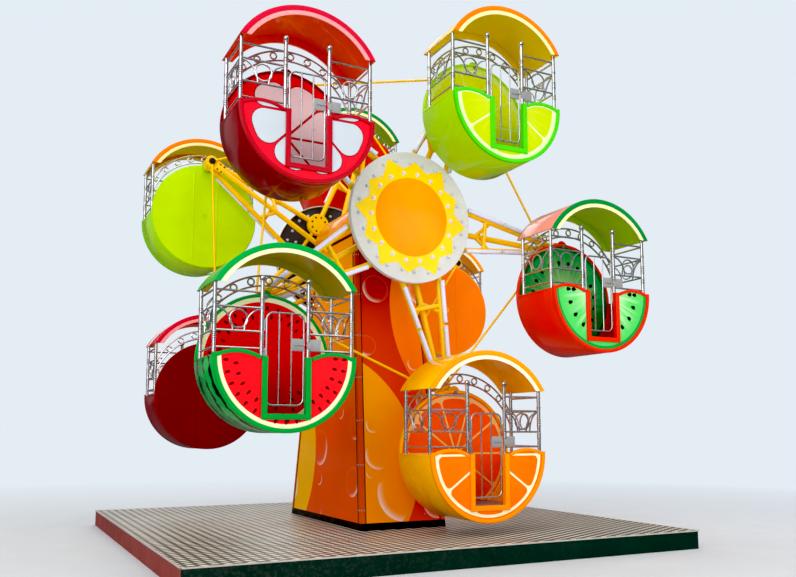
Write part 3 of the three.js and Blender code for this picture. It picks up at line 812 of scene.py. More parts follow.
# %% Dark seams beside the corner strips
SEAM_INSET = 0.063
SEAM_R = 0.006
SEAM_TOP = 3.44
seams = [rod(*[by_corner(corner, z, SEAM_INSET) for z in (SKIRT_TOP, SEAM_TOP)], SEAM_R, 8)
         for corner in TOWER_CORNERS]
seam_rubber = finish("seam_rubber", srgb(24, 20, 20), rough=0.5, drift=0.1)
fit("tower_seams", gather(*seams), seam_rubber, "base", slot="black_plastic")
print("tower seams:", len(seams))

# %% [markdown]
# ## The hood
# A half-round fibreglass hood covers the bearings. It is a bent sheet with two flat ends, and each
# end has a slot that passes over the shaft. The model's facets would show in the gloss, so it is made
# again with a smooth bend, at the same size.

# %% Hood
HOOD_R = 0.432
HOOD_SHEET = 0.014
HOOD_HALF = 0.662
HOOD_DROP = 0.07
HOOD_END_R = HOOD_R - 0.003
SHAFT_SLOT = 0.080
end_outline = flat(arc_points(HOOD_END_R, 0, 0, 0, 180, 48))
end_outline += [(-HOOD_END_R, -HOOD_DROP), (-SHAFT_SLOT, -HOOD_DROP)]
end_outline += flat(arc_points(SHAFT_SLOT, 0, 0, 180, 0, 16))
end_outline += [(SHAFT_SLOT, -HOOD_DROP), (HOOD_END_R, -HOOD_DROP)]
hood_parts = [band(HOOD_R - HOOD_SHEET, HOOD_R, -HOOD_HALF, HOOD_HALF, 0, 180, 64, rounding=0.005)]
for side in (1, -1):
    low, high = sorted((side * HOOD_R, side * (HOOD_R - HOOD_SHEET)))
    hood_parts.append(bar((low, -HOOD_HALF, -HOOD_DROP), (high, HOOD_HALF, 0.004), 0.003))
    back, front = sorted((side * HOOD_HALF, side * (HOOD_HALF - HOOD_SHEET)))
    hood_parts.append(plate(end_outline, back, front, 0.004))
hood_gloss = fibreglass("hood_gloss", srgb(255, 150, 8))
hood = fit("smooth_hood", gather(*hood_parts), hood_gloss, "base", at(z=axle.z), "hood_shell")
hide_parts("tower_hood")

# %% Bearings and shaft
FOOT_BOLT = Vector((0.165, 0.52, 3.6353))
FOOT_BOLT_SCALE = 2.4
cast_iron = finish("bearing_iron", srgb(44, 46, 50), rough=0.5, metal=0.3, drift=0.15, grain=0.0004,
                   dusty=0.5)
bright_shaft = finish("shaft_steel", srgb(190, 190, 188), rough=0.3, metal=1.0, drift=0.1)
paint_nodes(cast_iron, "front_bearing", "rear_bearing")
paint_nodes(bright_shaft, "main_shaft")
head_up = Matrix.Rotation(math.radians(-90), 4, "X") @ Matrix.Scale(FOOT_BOLT_SCALE, 4)
foot_bolts = [Matrix.Translation((sign_x * FOOT_BOLT.x, sign_y * FOOT_BOLT.y, FOOT_BOLT.z)) @ head_up
              for sign_y in (1, -1) for sign_x in (1, -1)]
fit("bearing_bolts", gather(repeat(bolt_head(), foot_bolts)), zinc, "base", slot="shaft_steel")
print("bearing bolts:", len(foot_bolts))

# %% [markdown]
# ## The wheel's steelwork
# Each wheel is a star of round yellow tube: five arms of two outer chords and one inner chord, braced
# across, round gusset discs between them, a boss on the shaft and a casing at each tip.
# At the tip each chord ends in a sleeve, and a bolted plate ties the casing to the arm.
# The tubes are drawn once for one wheel with its first arm along x, then turned to each wheel's place.

# %% Wheel sizes
ARM_COUNT = 5
STEP = 360 / ARM_COUNT
first_pivot = Vector(joints["front_cabin_1_level"]["pos_m"]) - axle
ARM_RADIUS = math.hypot(first_pivot.x, first_pivot.z)
CHORD_U = 1.230
CHORD_R = 0.035
SLEEVE_R = CHORD_R + 0.006
WELD_R = CHORD_R * 1.12
WELD_HALF = 0.05
BRACE_R = 0.025
SPOKE_R = 0.030
CHORD_START = 0.07
OUTER_BRACE = 0.40
INNER_BRACE = 0.45
SLEEVE_START = 0.915
GUSSET_RADIUS = 0.500
GUSSET_R = 0.155
GUSSET_U = (1.184, 1.268)
BOSS_BORE = 0.0605
BOSS_R = 0.150
BOSS_U = (1.010, 1.3167)
TIP_CASE_R = 0.080
TIP_CASE_U = (1.120, 1.3347)
TONGUE = [(-0.030, 0.074), (-0.145, 0.066), (-0.215, 0.045)]
PIN_R = 0.025
PIN_END = 1.480
wheel_sides = {"front": 0.0, "rear": 180.0}


def wheel_place(side):
    """Where one wheel's drawing goes: turned to its first arm, and round the tower for the rear wheel."""
    pivot = Vector(joints[f"{side}_cabin_1_level"]["pos_m"]) - axle
    phase = math.degrees(math.atan2(pivot.z, pivot.x))
    if side == "rear":
        phase = 180 - phase
    return at(z=axle.z) @ about(wheel_sides[side]) @ swing(phase)


def on_wheel(radius, angle, u=0):
    return Vector((radius * math.cos(math.radians(angle)), -u, radius * math.sin(math.radians(angle))))


def fit_to_wheels(name, mesh, material, slot, stands_for=None, crease=32):
    """Fit one drawing to the front and to the rear wheel."""
    for side in wheel_sides:
        piece = fit(f"{side}_{name}", mesh, material, "wheel", wheel_place(side), slot, crease)
        if stands_for:
            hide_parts(f"{side}_{stands_for}")


tip_places = [Matrix.Translation(on_wheel(ARM_RADIUS, i * STEP)) for i in range(ARM_COUNT)]


# %% One arm
def part_way(line, share):
    return line[0].lerp(line[1], share)


def arm_lines(angle=0.0):
    """The two outer chords and the inner chord of an arm, each as its two ends."""
    tip_radius = ARM_RADIUS - 0.035
    spread = on_wheel(CHORD_R + 0.007, angle + 90)
    tip = on_wheel(tip_radius, angle, CHORD_U)
    outer = [(on_wheel(GUSSET_RADIUS, angle + sign * STEP / 2, CHORD_U), tip + sign * spread)
             for sign in (1, -1)]
    inner = (on_wheel(BOSS_R - 0.02, angle, BOSS_U[0] + 0.06),
             on_wheel(tip_radius, angle, TIP_CASE_U[0] + CHORD_R + 0.005))
    return outer, inner


def arm():
    outer, inner = arm_lines()
    tubes = [rod(part_way(line, CHORD_START), line[1], CHORD_R, 18) for line in outer]
    tubes.append(rod(*inner, CHORD_R, 18))
    tubes += [rod(part_way(line, INNER_BRACE), part_way(inner, INNER_BRACE), BRACE_R, 14) for line in outer]
    tubes.append(rod(*[part_way(line, OUTER_BRACE) for line in outer], BRACE_R, 14))
    tubes += [rod(part_way(line, SLEEVE_START), line[1], SLEEVE_R, 18) for line in outer + [inner]]
    for line in outer:
        joint = part_way(line, OUTER_BRACE)
        half_weld = (line[1] - line[0]).normalized() * WELD_HALF
        tubes.append(rod(joint - half_weld, joint + half_weld, WELD_R, 18))
    return tubes


def tip_tongue():
    """The bolted plate that runs from a tip's casing along its arm, on the side of the tower."""
    upper = [(ARM_RADIUS + out, half) for out, half in TONGUE]
    lower = [(x, -half) for x, half in upper]
    return plate([lower[0]] + upper + lower[:0:-1], TIP_CASE_U[0] + 0.009, TIP_CASE_U[0] + 0.0005, 0.002)


def gusset():
    r, (back, front) = GUSSET_R, GUSSET_U
    profile = [(0, back), (r - 0.008, back), (r, back + 0.008), (r, back + 0.02), (r - 0.022, back + 0.024),
               (r - 0.022, front - 0.024), (r, front - 0.02), (r, front - 0.008), (r - 0.008, front),
               (0.052, front), (0.046, front + 0.006), (0, front + 0.006)]
    return turned(profile, 48)


def boss():
    r, (back, front) = BOSS_R, BOSS_U
    return turned([(BOSS_BORE, back), (r - 0.008, back), (r, back + 0.008), (r, front - 0.008),
                   (r - 0.008, front), (BOSS_BORE, front), (BOSS_BORE, back)], 48)


# %% Steel star
star_parts = []
for i, tip_place in enumerate(tip_places):
    here, side_angle, next_angle = i * STEP, (i + 0.5) * STEP, (i + 1.5) * STEP
    star_parts += [moved(shape, swing(here)) for shape in arm() + [tip_tongue()]]
    star_parts.append(moved(gusset(), Matrix.Translation(on_wheel(GUSSET_RADIUS, side_angle))))
    star_parts.append(moved(round_plate(TIP_CASE_R, *TIP_CASE_U, 36, edge=0.006), tip_place))
    between = [on_wheel(GUSSET_RADIUS, angle, CHORD_U) for angle in (side_angle, next_angle)]
    inset = GUSSET_R * 0.75 / (between[1] - between[0]).length
    star_parts.append(rod(part_way(between, inset), part_way(between, 1 - inset), BRACE_R, 14))
    star_parts.append(rod(on_wheel(BOSS_R - 0.03, side_angle, CHORD_U),
                          on_wheel(GUSSET_RADIUS - 0.11, side_angle, CHORD_U), SPOKE_R, 16))
star_mesh = gather(*star_parts, boss())
yellow = finish("wheel_yellow", srgb(255, 198, 0), rough=0.3, coat=0.3, drift=0.05, wave=0.0004,
                wave_size=14.0, dusty=0.06, wear=0.1, shine=0.3)
fit_to_wheels("steel_star", star_mesh, yellow, "yellow_paint", "wheel_frame")
print("steel star triangles:", sum(len(p.vertices) - 2 for p in star_mesh.polygons))

# %% [markdown]
# ## Bolts, pins and caps on the wheel
# A ring of bolts holds each gusset disc, on both sides, and four bolts hold the plate at each tip.
# A black bearing cap closes the back of each tip, and the pin at its front carries the cabin.
# One bolt head is drawn, and then repeated at all its places in one mesh.

# %% Gusset bolts, caps and pins
GUSSET_BOLT_RING = 0.105
GUSSET_BOLTS = 8
GUSSET_BOLT_SCALE = Matrix.Scale(1.7, 4)
TONGUE_BOLTS = [(-0.115, 90), (-0.115, -90), (-0.175, 90), (-0.175, -90)]
TONGUE_BOLT_ASIDE = 0.042
TONGUE_BOLT_SCALE = Matrix.Scale(1.4, 4)
facing_back = about(180)
bolt_places = []
for i in range(ARM_COUNT):
    disc = on_wheel(GUSSET_RADIUS, (i + 0.5) * STEP)
    for k in range(GUSSET_BOLTS):
        spot = disc + on_wheel(GUSSET_BOLT_RING, (k + 0.5) * 360 / GUSSET_BOLTS)
        bolt_places.append(at(spot.x, GUSSET_U[1], spot.z) @ GUSSET_BOLT_SCALE)
        bolt_places.append(at(spot.x, GUSSET_U[0], spot.z) @ facing_back @ GUSSET_BOLT_SCALE)
    for out, aside in TONGUE_BOLTS:
        spot = on_wheel(ARM_RADIUS + out, i * STEP) + on_wheel(TONGUE_BOLT_ASIDE, i * STEP + aside)
        bolt_places.append(at(spot.x, TIP_CASE_U[0] + 0.0005, spot.z) @ facing_back @ TONGUE_BOLT_SCALE)
cap_back = TIP_CASE_U[0] - 0.0163
cap = turned([(0, cap_back - 0.030), (0.030, cap_back - 0.030), (0.038, cap_back - 0.024),
              (0.041, cap_back - 0.006), (0.046, cap_back), (0, cap_back)], 32)
pin_back = TIP_CASE_U[1] - 0.005
pin = turned([(0, pin_back), (PIN_R, pin_back), (PIN_R, PIN_END - 0.003), (PIN_R - 0.003, PIN_END),
              (0, PIN_END)], 28)
black_cap = finish("black_plastic", srgb(26, 27, 30), rough=0.35, drift=0.1, dusty=0.4)
fit_to_wheels("gusset_bolts", gather(repeat(bolt_head(), bolt_places)), black_cap, "black_plastic")
fit_to_wheels("tip_caps", gather(repeat(cap, tip_places)), black_cap, "black_plastic")
fit_to_wheels("cabin_pins", gather(repeat(pin, tip_places)), bright_shaft, "shaft_steel")
print("bolts on one wheel:", len(bolt_places))

# %% [markdown]
# ## Tie rods and lamps
# Thin rods run from tip to tip. White lamp tubes are clipped to the outer chords, and they look faintly
# violet in daylight, so the plastic is white with a violet tint and a soft gloss.

# %% Tie rods
TIE_R = 0.014
EYE = 0.016
EYE_R = 0.042
eye_front = TIP_CASE_U[0] - 0.0003
rod_u = eye_front - EYE / 2
tie_parts = []
for i, tip_place in enumerate(tip_places):
    tie_parts.append(rod(*[on_wheel(ARM_RADIUS, k * STEP, rod_u) for k in (i, i + 1)], TIE_R, 12))
    tie_parts.append(moved(round_plate(EYE_R, eye_front - EYE, eye_front, 28, edge=0.003), tip_place))
fit_to_wheels("tie_bars", gather(*tie_parts), yellow, "yellow_paint", "tie_rods")
print("tie rods on one wheel:", ARM_COUNT)

# %% Lamp tubes
LAMP_R = 0.025
LAMP_SPANS = ((0.24, 0.52), (0.56, 0.90))
LAMP_ASIDE = 0.020
LAMP_AHEAD = 0.053
CLIP_SHARES = (0.12, 0.88)
lamp_parts, clip_parts = [], []
for i in range(ARM_COUNT):
    for sign, line in zip((1, -1), arm_lines(i * STEP)[0]):
        along = (line[1] - line[0]).normalized()
        stand = on_wheel(LAMP_ASIDE, i * STEP + sign * 90, LAMP_AHEAD)
        for span in LAMP_SPANS:
            start, stop = [part_way(line, share) + stand for share in span]
            lamp_parts.append(rod(start, stop, LAMP_R, 16))
            for end_point, way in ((start, -along), (stop, along)):
                clip_parts.append(rod(end_point - way * 0.012, end_point + way * 0.016, LAMP_R + 0.002, 16))
            for share in CLIP_SHARES:
                hold = start.lerp(stop, share)
                clip_parts.append(rod(hold - along * 0.005, hold + along * 0.005, LAMP_R + 0.0012, 16))
                clip_parts.append(rod(hold, hold - stand * 0.75, 0.006, 8))
print("lamp tubes on one wheel:", len(lamp_parts))
lamp_white = finish("lamp_tube", srgb(226, 226, 250), rough=0.25, coat=0.4, drift=0.05)
clip_white = finish("lamp_clip", srgb(216, 216, 226), rough=0.4, drift=0.05, dusty=0.1)
fit_to_wheels("lamp_tubes", gather(*lamp_parts), lamp_white, "lamp_white")
fit_to_wheels("lamp_clips", gather(*clip_parts), clip_white, "lamp_white")

# %% [markdown]
# ## The hub cover
# A round white cover plate hides the hub. Here it carries a plain sunburst, with a ring of pearl
# bulbs inside and silver bulbs along the points. Star and middle are thin cut sheets, so their
# edges stay crisp, and each bulb is a small dome on a collar.

# %% Hub cover
PLATE_R = 0.777
PLATE_U = (1.317, 1.335)
RIM_BACK = 0.045
back, front = PLATE_U
rim_back = back - RIM_BACK
cover_profile = [
    (0, back), (PLATE_R - 0.010, back), (PLATE_R - 0.010, rim_back), (PLATE_R - 0.005, rim_back - 0.003),
    (PLATE_R, rim_back), (PLATE_R, front - 0.010), (PLATE_R - 0.003, front - 0.003), (PLATE_R - 0.012, front),
    (PLATE_R - 0.030, front - 0.001), (PLATE_R - 0.036, front - 0.003), (0, front - 0.003),
]
lining_profile = [(0.151, back - 0.004), (PLATE_R - 0.012, back - 0.004), (PLATE_R - 0.012, back - 0.0005),
                  (0.151, back - 0.0005), (0.151, back - 0.004)]
cover_white = finish("hub_cover_white", srgb(212, 210, 202), rough=0.22, coat=0.6, drift=0.07, wave=0.002,
                     wave_size=2.5, dusty=0.2)
cover_back = finish("hub_cover_back", srgb(58, 58, 62), rough=0.5, drift=0.2, dusty=0.3)
fit_to_wheels("hub_cover", gather(turned(cover_profile, 128)), cover_white, "hub_cover_white", "hub_plate")
fit_to_wheels("hub_lining", gather(turned(lining_profile, 96)), cover_back, "black_plastic")

# %% Sunburst
RAYS = 12
RAY_TIPS = (0.725, 0.665)
RAY_ROOT = 0.575
MIDDLE_R = 0.465
FACE_U = front - 0.004
star_points = []
for k in range(RAYS):
    star_points.append(on_wheel(RAY_TIPS[k % 2], 2 * k * 180 / RAYS))
    star_points.append(on_wheel(RAY_ROOT, (2 * k + 1) * 180 / RAYS))
star_sheet = plate([(p.x, p.z) for p in star_points], FACE_U, front + 0.0005, 0.001)
middle_sheet = turned([(0, FACE_U), (MIDDLE_R, FACE_U), (MIDDLE_R, front + 0.0015),
                       (MIDDLE_R - 0.002, front + 0.0025), (0, front + 0.0025)], 96)
sheet_look = {"rough": 0.3, "coat": 0.3, "drift": 0.12, "wave": 0.001, "shine": 0.2}
star_yellow = finish("sunburst_yellow", srgb(255, 214, 10), **sheet_look)
middle_warm = finish("sunburst_middle", srgb(255, 158, 4), **sheet_look)
fit_to_wheels("sunburst_star", gather(star_sheet), star_yellow, "yellow_paint", crease=20)
fit_to_wheels("sunburst_middle", gather(middle_sheet), middle_warm, "yellow_paint")

# %% Bulbs
BULB_RING = 0.520
BULBS = 18
PEARL_R = 0.021
SILVER_R = 0.019


def bulb(radius):
    dome = [(radius * math.cos(math.radians(a)), 0.004 + radius * math.sin(math.radians(a)))
            for a in (0, 30, 60)]
    collar = [(0, -0.003), (radius * 1.3, -0.003), (radius * 1.3, 0.003), (radius, 0.004)]
    return turned(collar + dome + [(0, 0.004 + radius)], 14)


def on_cover(spots, u):
    return [at(spot.x, u, spot.z) for spot in spots]


ring_spots = [on_wheel(BULB_RING, k * 360 / BULBS + 6) for k in range(BULBS)]
edge_spots = [point.lerp(following, 0.5) * 1.045
              for point, following in zip(star_points, star_points[1:] + star_points[:1])]
socket = turned([(0, -0.002), (0.020, -0.002), (0.020, 0.008), (0.014, 0.014), (0, 0.014)], 12)
socket_places = [place @ facing_back for place in on_cover(ring_spots + edge_spots, back - 0.006)]
pearls = repeat(bulb(PEARL_R), on_cover(ring_spots, front + 0.001))
silvers = repeat(bulb(SILVER_R), on_cover(edge_spots, front - 0.001))
pearl = finish("pearl_bulb", srgb(240, 226, 224), rough=0.15, coat=0.6, drift=0.06)
silver = finish("silver_bulb", srgb(214, 214, 220), rough=0.2, metal=0.15, drift=0.15)
fit_to_wheels("pearl_bulbs", gather(pearls), pearl, "lamp_white")
fit_to_wheels("silver_bulbs", gather(silvers), silver, "lamp_white")
fit_to_wheels("bulb_sockets", gather(repeat(socket, socket_places)), clip_white, "lamp_white")
print("bulbs on one cover:", len(socket_places))

# %% [markdown]
# ## Ten cabins from one set of drawings
# Every cabin is the same casting with other colours, so each part is drawn once around its own pivot,
# and copied to the ten arm tips. The rear cabins are turned to face away.
# The tub is half a drum: a full disc at the back, a bent sheet below, and a front with two humps.

# %% Cabin sizes
DISC_R = 0.715
DISC_Z = -0.685
DISC_U = (1.440, 1.462)
PANEL_FRONT = 1.4635
PANEL_R = DISC_R - 0.034
SHELL = 0.022
FACE_BACK = 2.140
FACE_FRONT = 2.168
RIM_FRONT = 2.186
RIM_WIDTH = 0.042
HUMP_RIM = 0.034
HUMP_RISE = 0.062
DOOR_HALF = 0.190
DOOR_FRAME = 0.055
SILL_Z = -1.218
FLOOR_Z = -1.225
FLOOR_PLATE = 0.015
half_span = (DISC_R - DOOR_HALF - DOOR_FRAME) / 2
hump_r = (half_span ** 2 + HUMP_RISE ** 2) / (2 * HUMP_RISE)
hump_x = DOOR_HALF + DOOR_FRAME + half_span
hump_z = DISC_Z + HUMP_RISE - hump_r
hump_spread = math.degrees(math.asin(half_span / hump_r))
in_disc = at(z=DISC_Z)
print("hump bent to a radius of", round(hump_r, 3), "m")


def face_outline(inset=0.0, hump_inset=None):
    """The front's outline, moved in by an inset: half a disc with two humps, less the doorway."""
    hump_inset = inset if hump_inset is None else hump_inset
    reach, hump = DISC_R - inset, hump_r - hump_inset
    dip = math.degrees(math.asin(hump_inset / reach))
    spread = math.degrees(math.asin((reach * math.cos(math.radians(dip)) - hump_x) / hump))
    right = arc_points(hump, hump_x, hump_z, 90 - spread, 90 + spread, 12)
    left = arc_points(hump, -hump_x, hump_z, 90 - spread, 90 + spread, 12)
    door, sill, head = DOOR_HALF + inset, SILL_Z - inset, right[-1][2] - 0.001
    doorway = [(door, head), (door, sill), (-door, sill), (-door, head)]
    return flat(arc_points(reach, 0, DISC_Z, 180 + dip, 360 - dip, 64)) + flat(right) + doorway + flat(left)


# %% Shell and back
RIB_X = 0.16
RIB_HALF = 0.012
RIB_Z = (-1.30, -0.08)
PIVOT_BORE = 0.0255
disc_back, disc_front = DISC_U
disc_profile = [
    (0, disc_back), (DISC_R - 0.006, disc_back), (DISC_R, disc_back + 0.006), (DISC_R, disc_front + 0.006),
    (DISC_R - 0.006, disc_front + 0.012), (DISC_R - 0.028, disc_front + 0.012),
    (DISC_R - 0.034, disc_front + 0.008), (DISC_R - 0.035, disc_front), (0, disc_front),
]
pivot_profile = [(PIVOT_BORE, 1.3355), (0.056, 1.3355), (0.062, 1.341), (0.062, 1.420), (0.066, 1.432),
                 (0.078, 1.441), (PIVOT_BORE, 1.441), (PIVOT_BORE, 1.3355)]
back_profile = [(0.040, disc_back + 0.003), (0.040, disc_back - 0.002), (DISC_R - 0.014, disc_back - 0.002),
                (DISC_R - 0.011, disc_back + 0.003)]
shell_parts = [
    moved(turned(disc_profile, 96), in_disc),
    moved(band(DISC_R - SHELL, DISC_R, disc_back + 0.003, FACE_BACK + 0.022, 180, 360, 64), in_disc),
    turned(pivot_profile, 32),
]
back_parts = [moved(turned(back_profile, 96), in_disc)]
for side in (1, -1):
    low, high = sorted((side * (DISC_R - SHELL - 0.004), side * (DISC_R + 0.004)))
    shell_parts.append(bar((low, -FACE_BACK, DISC_Z - 0.016), (high, -disc_front, DISC_Z + 0.004), 0.006))
    back_parts.append(bar((side * RIB_X - RIB_HALF, -disc_back - 0.001, RIB_Z[0]),
                          (side * RIB_X + RIB_HALF, -disc_back + 0.005, RIB_Z[1]), 0.0025))
shell_mesh = gather(*shell_parts)
back_mesh = gather(*back_parts)
print("drum", round(FACE_BACK - disc_front, 3), "m deep")

# %% Rims, face and floor
rim_back = FACE_BACK + 0.008
round_rim = band(DISC_R - RIM_WIDTH, DISC_R + 0.002, rim_back, RIM_FRONT, 178, 362, 72, 0.008)
rim_parts = [moved(round_rim, in_disc)]
for side in (1, -1):
    hump = band(hump_r - HUMP_RIM, hump_r + 0.002, rim_back, RIM_FRONT - 0.001, 91 - hump_spread,
                89 + hump_spread, 20, 0.008)
    rim_parts.append(moved(hump, at(side * hump_x, 0, hump_z)))
outside, head, foot = DOOR_HALF + DOOR_FRAME, DISC_Z + 0.008, SILL_Z - DOOR_FRAME
frame_outline = [(-outside, head), (-outside, foot), (outside, foot), (outside, head), (DOOR_HALF, head),
                 (DOOR_HALF, SILL_Z), (-DOOR_HALF, SILL_Z), (-DOOR_HALF, head)]
rim_parts.append(plate(frame_outline, FACE_BACK - 0.008, RIM_FRONT + 0.004, 0.007, 3))
rim_mesh = gather(*rim_parts)
face_mesh = gather(plate(face_outline(0.004), FACE_BACK, FACE_FRONT))
panel_mesh = gather(moved(round_plate(PANEL_R, 1.455, PANEL_FRONT, 72), in_disc))
floor_half = math.sqrt((DISC_R - SHELL / 2) ** 2 - (FLOOR_Z - DISC_Z) ** 2)
cabin_floor_mesh = gather(bar((-floor_half, -FACE_BACK + 0.002, FLOOR_Z - FLOOR_PLATE),
                              (floor_half, -1.476, FLOOR_Z), 0.003))
print("cabin floor", round(2 * floor_half, 3), "m wide")

# %% [markdown]
# ## The railing
# Round stainless posts carry turned beads, as stair balusters do, so each post is one profile spun
# round its own axis. Rails, hoops and quarter bows are bent from thin tube and welded between them.
# A double bow with hoops joins the two rear posts. Door posts end in a ball, and their beads keep
# clear of the hinges, so that the gate can swing. The latch plates are brushed, because polished
# sheet would mirror the dark panels and look black.

# %% Steel finishes
polished = finish("polished_steel", srgb(222, 222, 224), rough=0.22, spread=0.12, metal=1.0, drift=0.08)
brushed = finish("brushed_steel", srgb(184, 181, 178), rough=0.36, spread=0.14, metal=0.55, drift=0.12)

# %% Turned posts
POST_R = 0.0195
POST_X = 0.690
DOOR_POST_X = 0.234
FRONT_U = 2.110
REAR_U = 1.570
BEADS = (-0.520, -0.502, -0.483, -0.464, -0.388, -0.372, -0.350, -0.328, -0.310, -0.196, -0.180)
DOOR_BEADS = (-0.520, -0.502, -0.483, -0.464, -0.222, -0.205, -0.164, -0.146, -0.130)
BEAD_R = 0.0235
BALL_R = 0.032
BALL_ANGLES = (-50, -25, 0, 25, 50, 72)


def post(foot, head, ball=False):
    profile = [(0, foot), (POST_R, foot)]
    for z in DOOR_BEADS if ball else BEADS:
        profile += [(POST_R, z - 0.008), (BEAD_R, z - 0.003), (BEAD_R, z + 0.003), (POST_R, z + 0.008)]
    profile.append((POST_R, head))
    if ball:
        profile += [(0.027, head + 0.001), (0.027, head + 0.006), (0.012, head + 0.009)]
        centre = head + 0.009 + BALL_R * 0.85
        profile += [(BALL_R * math.cos(math.radians(a)), centre + BALL_R * math.sin(math.radians(a)))
                    for a in BALL_ANGLES]
        head = centre + BALL_R
    profile.append((0, head))
    return turned(profile, 14, "z")


# %% Rails and ornaments
RAILS = (-0.607, -0.447, -0.220, -0.067)
RAIL_R = 0.0105
WIRE_R = 0.009
HOOP_R = 0.086
HOOP_RISE = 0.114
BOW_WIDE = 0.172
BOW_TALL = 0.215


def bay_ornament(width):
    """A hoop between two quarter bows, drawn flat for a bay of a given width that starts at x = 0."""
    foot, wide = RAILS[1], min(BOW_WIDE, width / 2 - 0.055)
    parts = [moved(hoop(HOOP_R, WIRE_R, 36, 8), at(width / 2, 0, foot + HOOP_RISE))]
    for x, start in ((0, 0), (width, 180)):
        parts.append(tube(arc_points(wide, x, foot, start, 90, 12, tall=BOW_TALL), WIRE_R, 8))
    return gather(*parts)


front_bay = bay_ornament(POST_X - DOOR_POST_X)
side_bay = bay_ornament(FRONT_U - REAR_U)
railing_parts = [placed(front_bay, at(x, FRONT_U)) for x in (DOOR_POST_X, -POST_X)]
for side in (1, -1):
    railing_parts += [moved(post(DISC_Z + 0.0003, 0.010), at(side * POST_X, u)) for u in (FRONT_U, REAR_U)]
    railing_parts.append(moved(post(FLOOR_Z + 0.0003, 0.035, ball=True), at(side * DOOR_POST_X, FRONT_U)))
    railing_parts.append(placed(side_bay, at(side * POST_X, REAR_U) @ about(-90)))
    for z in RAILS:
        corner = (side * POST_X, -FRONT_U, z)
        railing_parts.append(rod((side * DOOR_POST_X, -FRONT_U, z), corner, RAIL_R, 10))
        railing_parts.append(rod(corner, (side * POST_X, -REAR_U, z), RAIL_R, 10))

# %% Double bow at the back
UPPER_BOW = (0.748, -0.544)
LOWER_BOW = (0.726, -0.626)
BOW_HOOPS = 9
BOW_STEP = 15
for bow_r, bow_z in (UPPER_BOW, LOWER_BOW):
    reach = math.degrees(math.asin(POST_X / bow_r))
    railing_parts.append(tube(arc_points(bow_r, 0, bow_z, 90 - reach, 90 + reach, 40, REAR_U), RAIL_R, 8))
for k in range(BOW_HOOPS):
    angle = math.radians((k - (BOW_HOOPS - 1) / 2) * BOW_STEP)
    high, low = [Vector((r * math.sin(angle), 0, z + r * math.cos(angle))) for r, z in (UPPER_BOW, LOWER_BOW)]
    middle = (high + low) / 2
    own_r = (high - low).length / 2 - RAIL_R - WIRE_R + 0.002
    railing_parts.append(moved(hoop(own_r, WIRE_R, 26, 6), at(middle.x, REAR_U, middle.z)))

# %% Latch box and fixed hinge knuckles
LATCH_Z = (-0.612, -0.495)
LATCH_END = 0.362
HINGE_X = -0.207
HINGE_R = 0.007
HINGES = (-0.360, -0.640)
latch_mesh = gather(
    bar((DOOR_POST_X + 0.012, -FRONT_U - 0.010, LATCH_Z[0]),
        (LATCH_END, -FRONT_U + 0.006, LATCH_Z[1]), 0.004),
    bar((DOOR_POST_X - 0.020, -FRONT_U - 0.020, LATCH_Z[0] + 0.018),
        (DOOR_POST_X + 0.028, -FRONT_U - 0.014, LATCH_Z[1] - 0.018)),
)
for z in HINGES:
    top = z - 0.0255
    railing_parts.append(rod((HINGE_X, -FRONT_U, top - 0.05), (HINGE_X, -FRONT_U, top), HINGE_R, 12))
    railing_parts.append(bar((-DOOR_POST_X, -FRONT_U - 0.003, top - 0.048),
                             (HINGE_X, -FRONT_U + 0.003, top - 0.002), 0.001))
railing_mesh = gather(*railing_parts)
print("railing triangles:", sum(len(p.vertices) - 2 for p in railing_mesh.polygons))

# %% [markdown]
# ## The gate
# One loop of bent tube with two uprights and two hinge leaves on its left. On its right two latch
# plates clasp the tube, and a sliding bolt with a knob runs through two brackets on them.
# The gate rides on its own body, because it swings.

# %% Gate
GATE_R = 0.0095
GATE_HALF = 0.197 - GATE_R
GATE_TOP = -0.244 - GATE_R
GATE_LOW = -1.147 + GATE_R
GATE_CORNER = 0.068
UPRIGHT_R = 0.008
UPRIGHT_X = 0.062
inner_x, inner_top, inner_low = GATE_HALF - GATE_CORNER, GATE_TOP - GATE_CORNER, GATE_LOW + GATE_CORNER
corners = [(inner_x, inner_top), (-inner_x, inner_top), (-inner_x, inner_low), (inner_x, inner_low)]
loop = []
for k, (x, z) in enumerate(corners):
    loop += arc_points(GATE_CORNER, x, z, k * 90, k * 90 + 90, 8, FRONT_U)
gate_parts = [tube(loop, GATE_R, 12, closed=True)]
for x in (UPRIGHT_X, -UPRIGHT_X):
    gate_parts.append(rod((x, -FRONT_U, GATE_LOW), (x, -FRONT_U, GATE_TOP), UPRIGHT_R, 10))
for z in HINGES:
    gate_parts.append(rod((HINGE_X, -FRONT_U, z - 0.025), (HINGE_X, -FRONT_U, z + 0.025), HINGE_R, 12))
    gate_parts.append(bar((HINGE_X, -FRONT_U - 0.004, z - 0.022),
                          (-GATE_HALF + 0.006, -FRONT_U + 0.002, z + 0.042), 0.0015))
gate_mesh = gather(*gate_parts)
print("gate", round(2 * GATE_HALF, 3), "m wide")

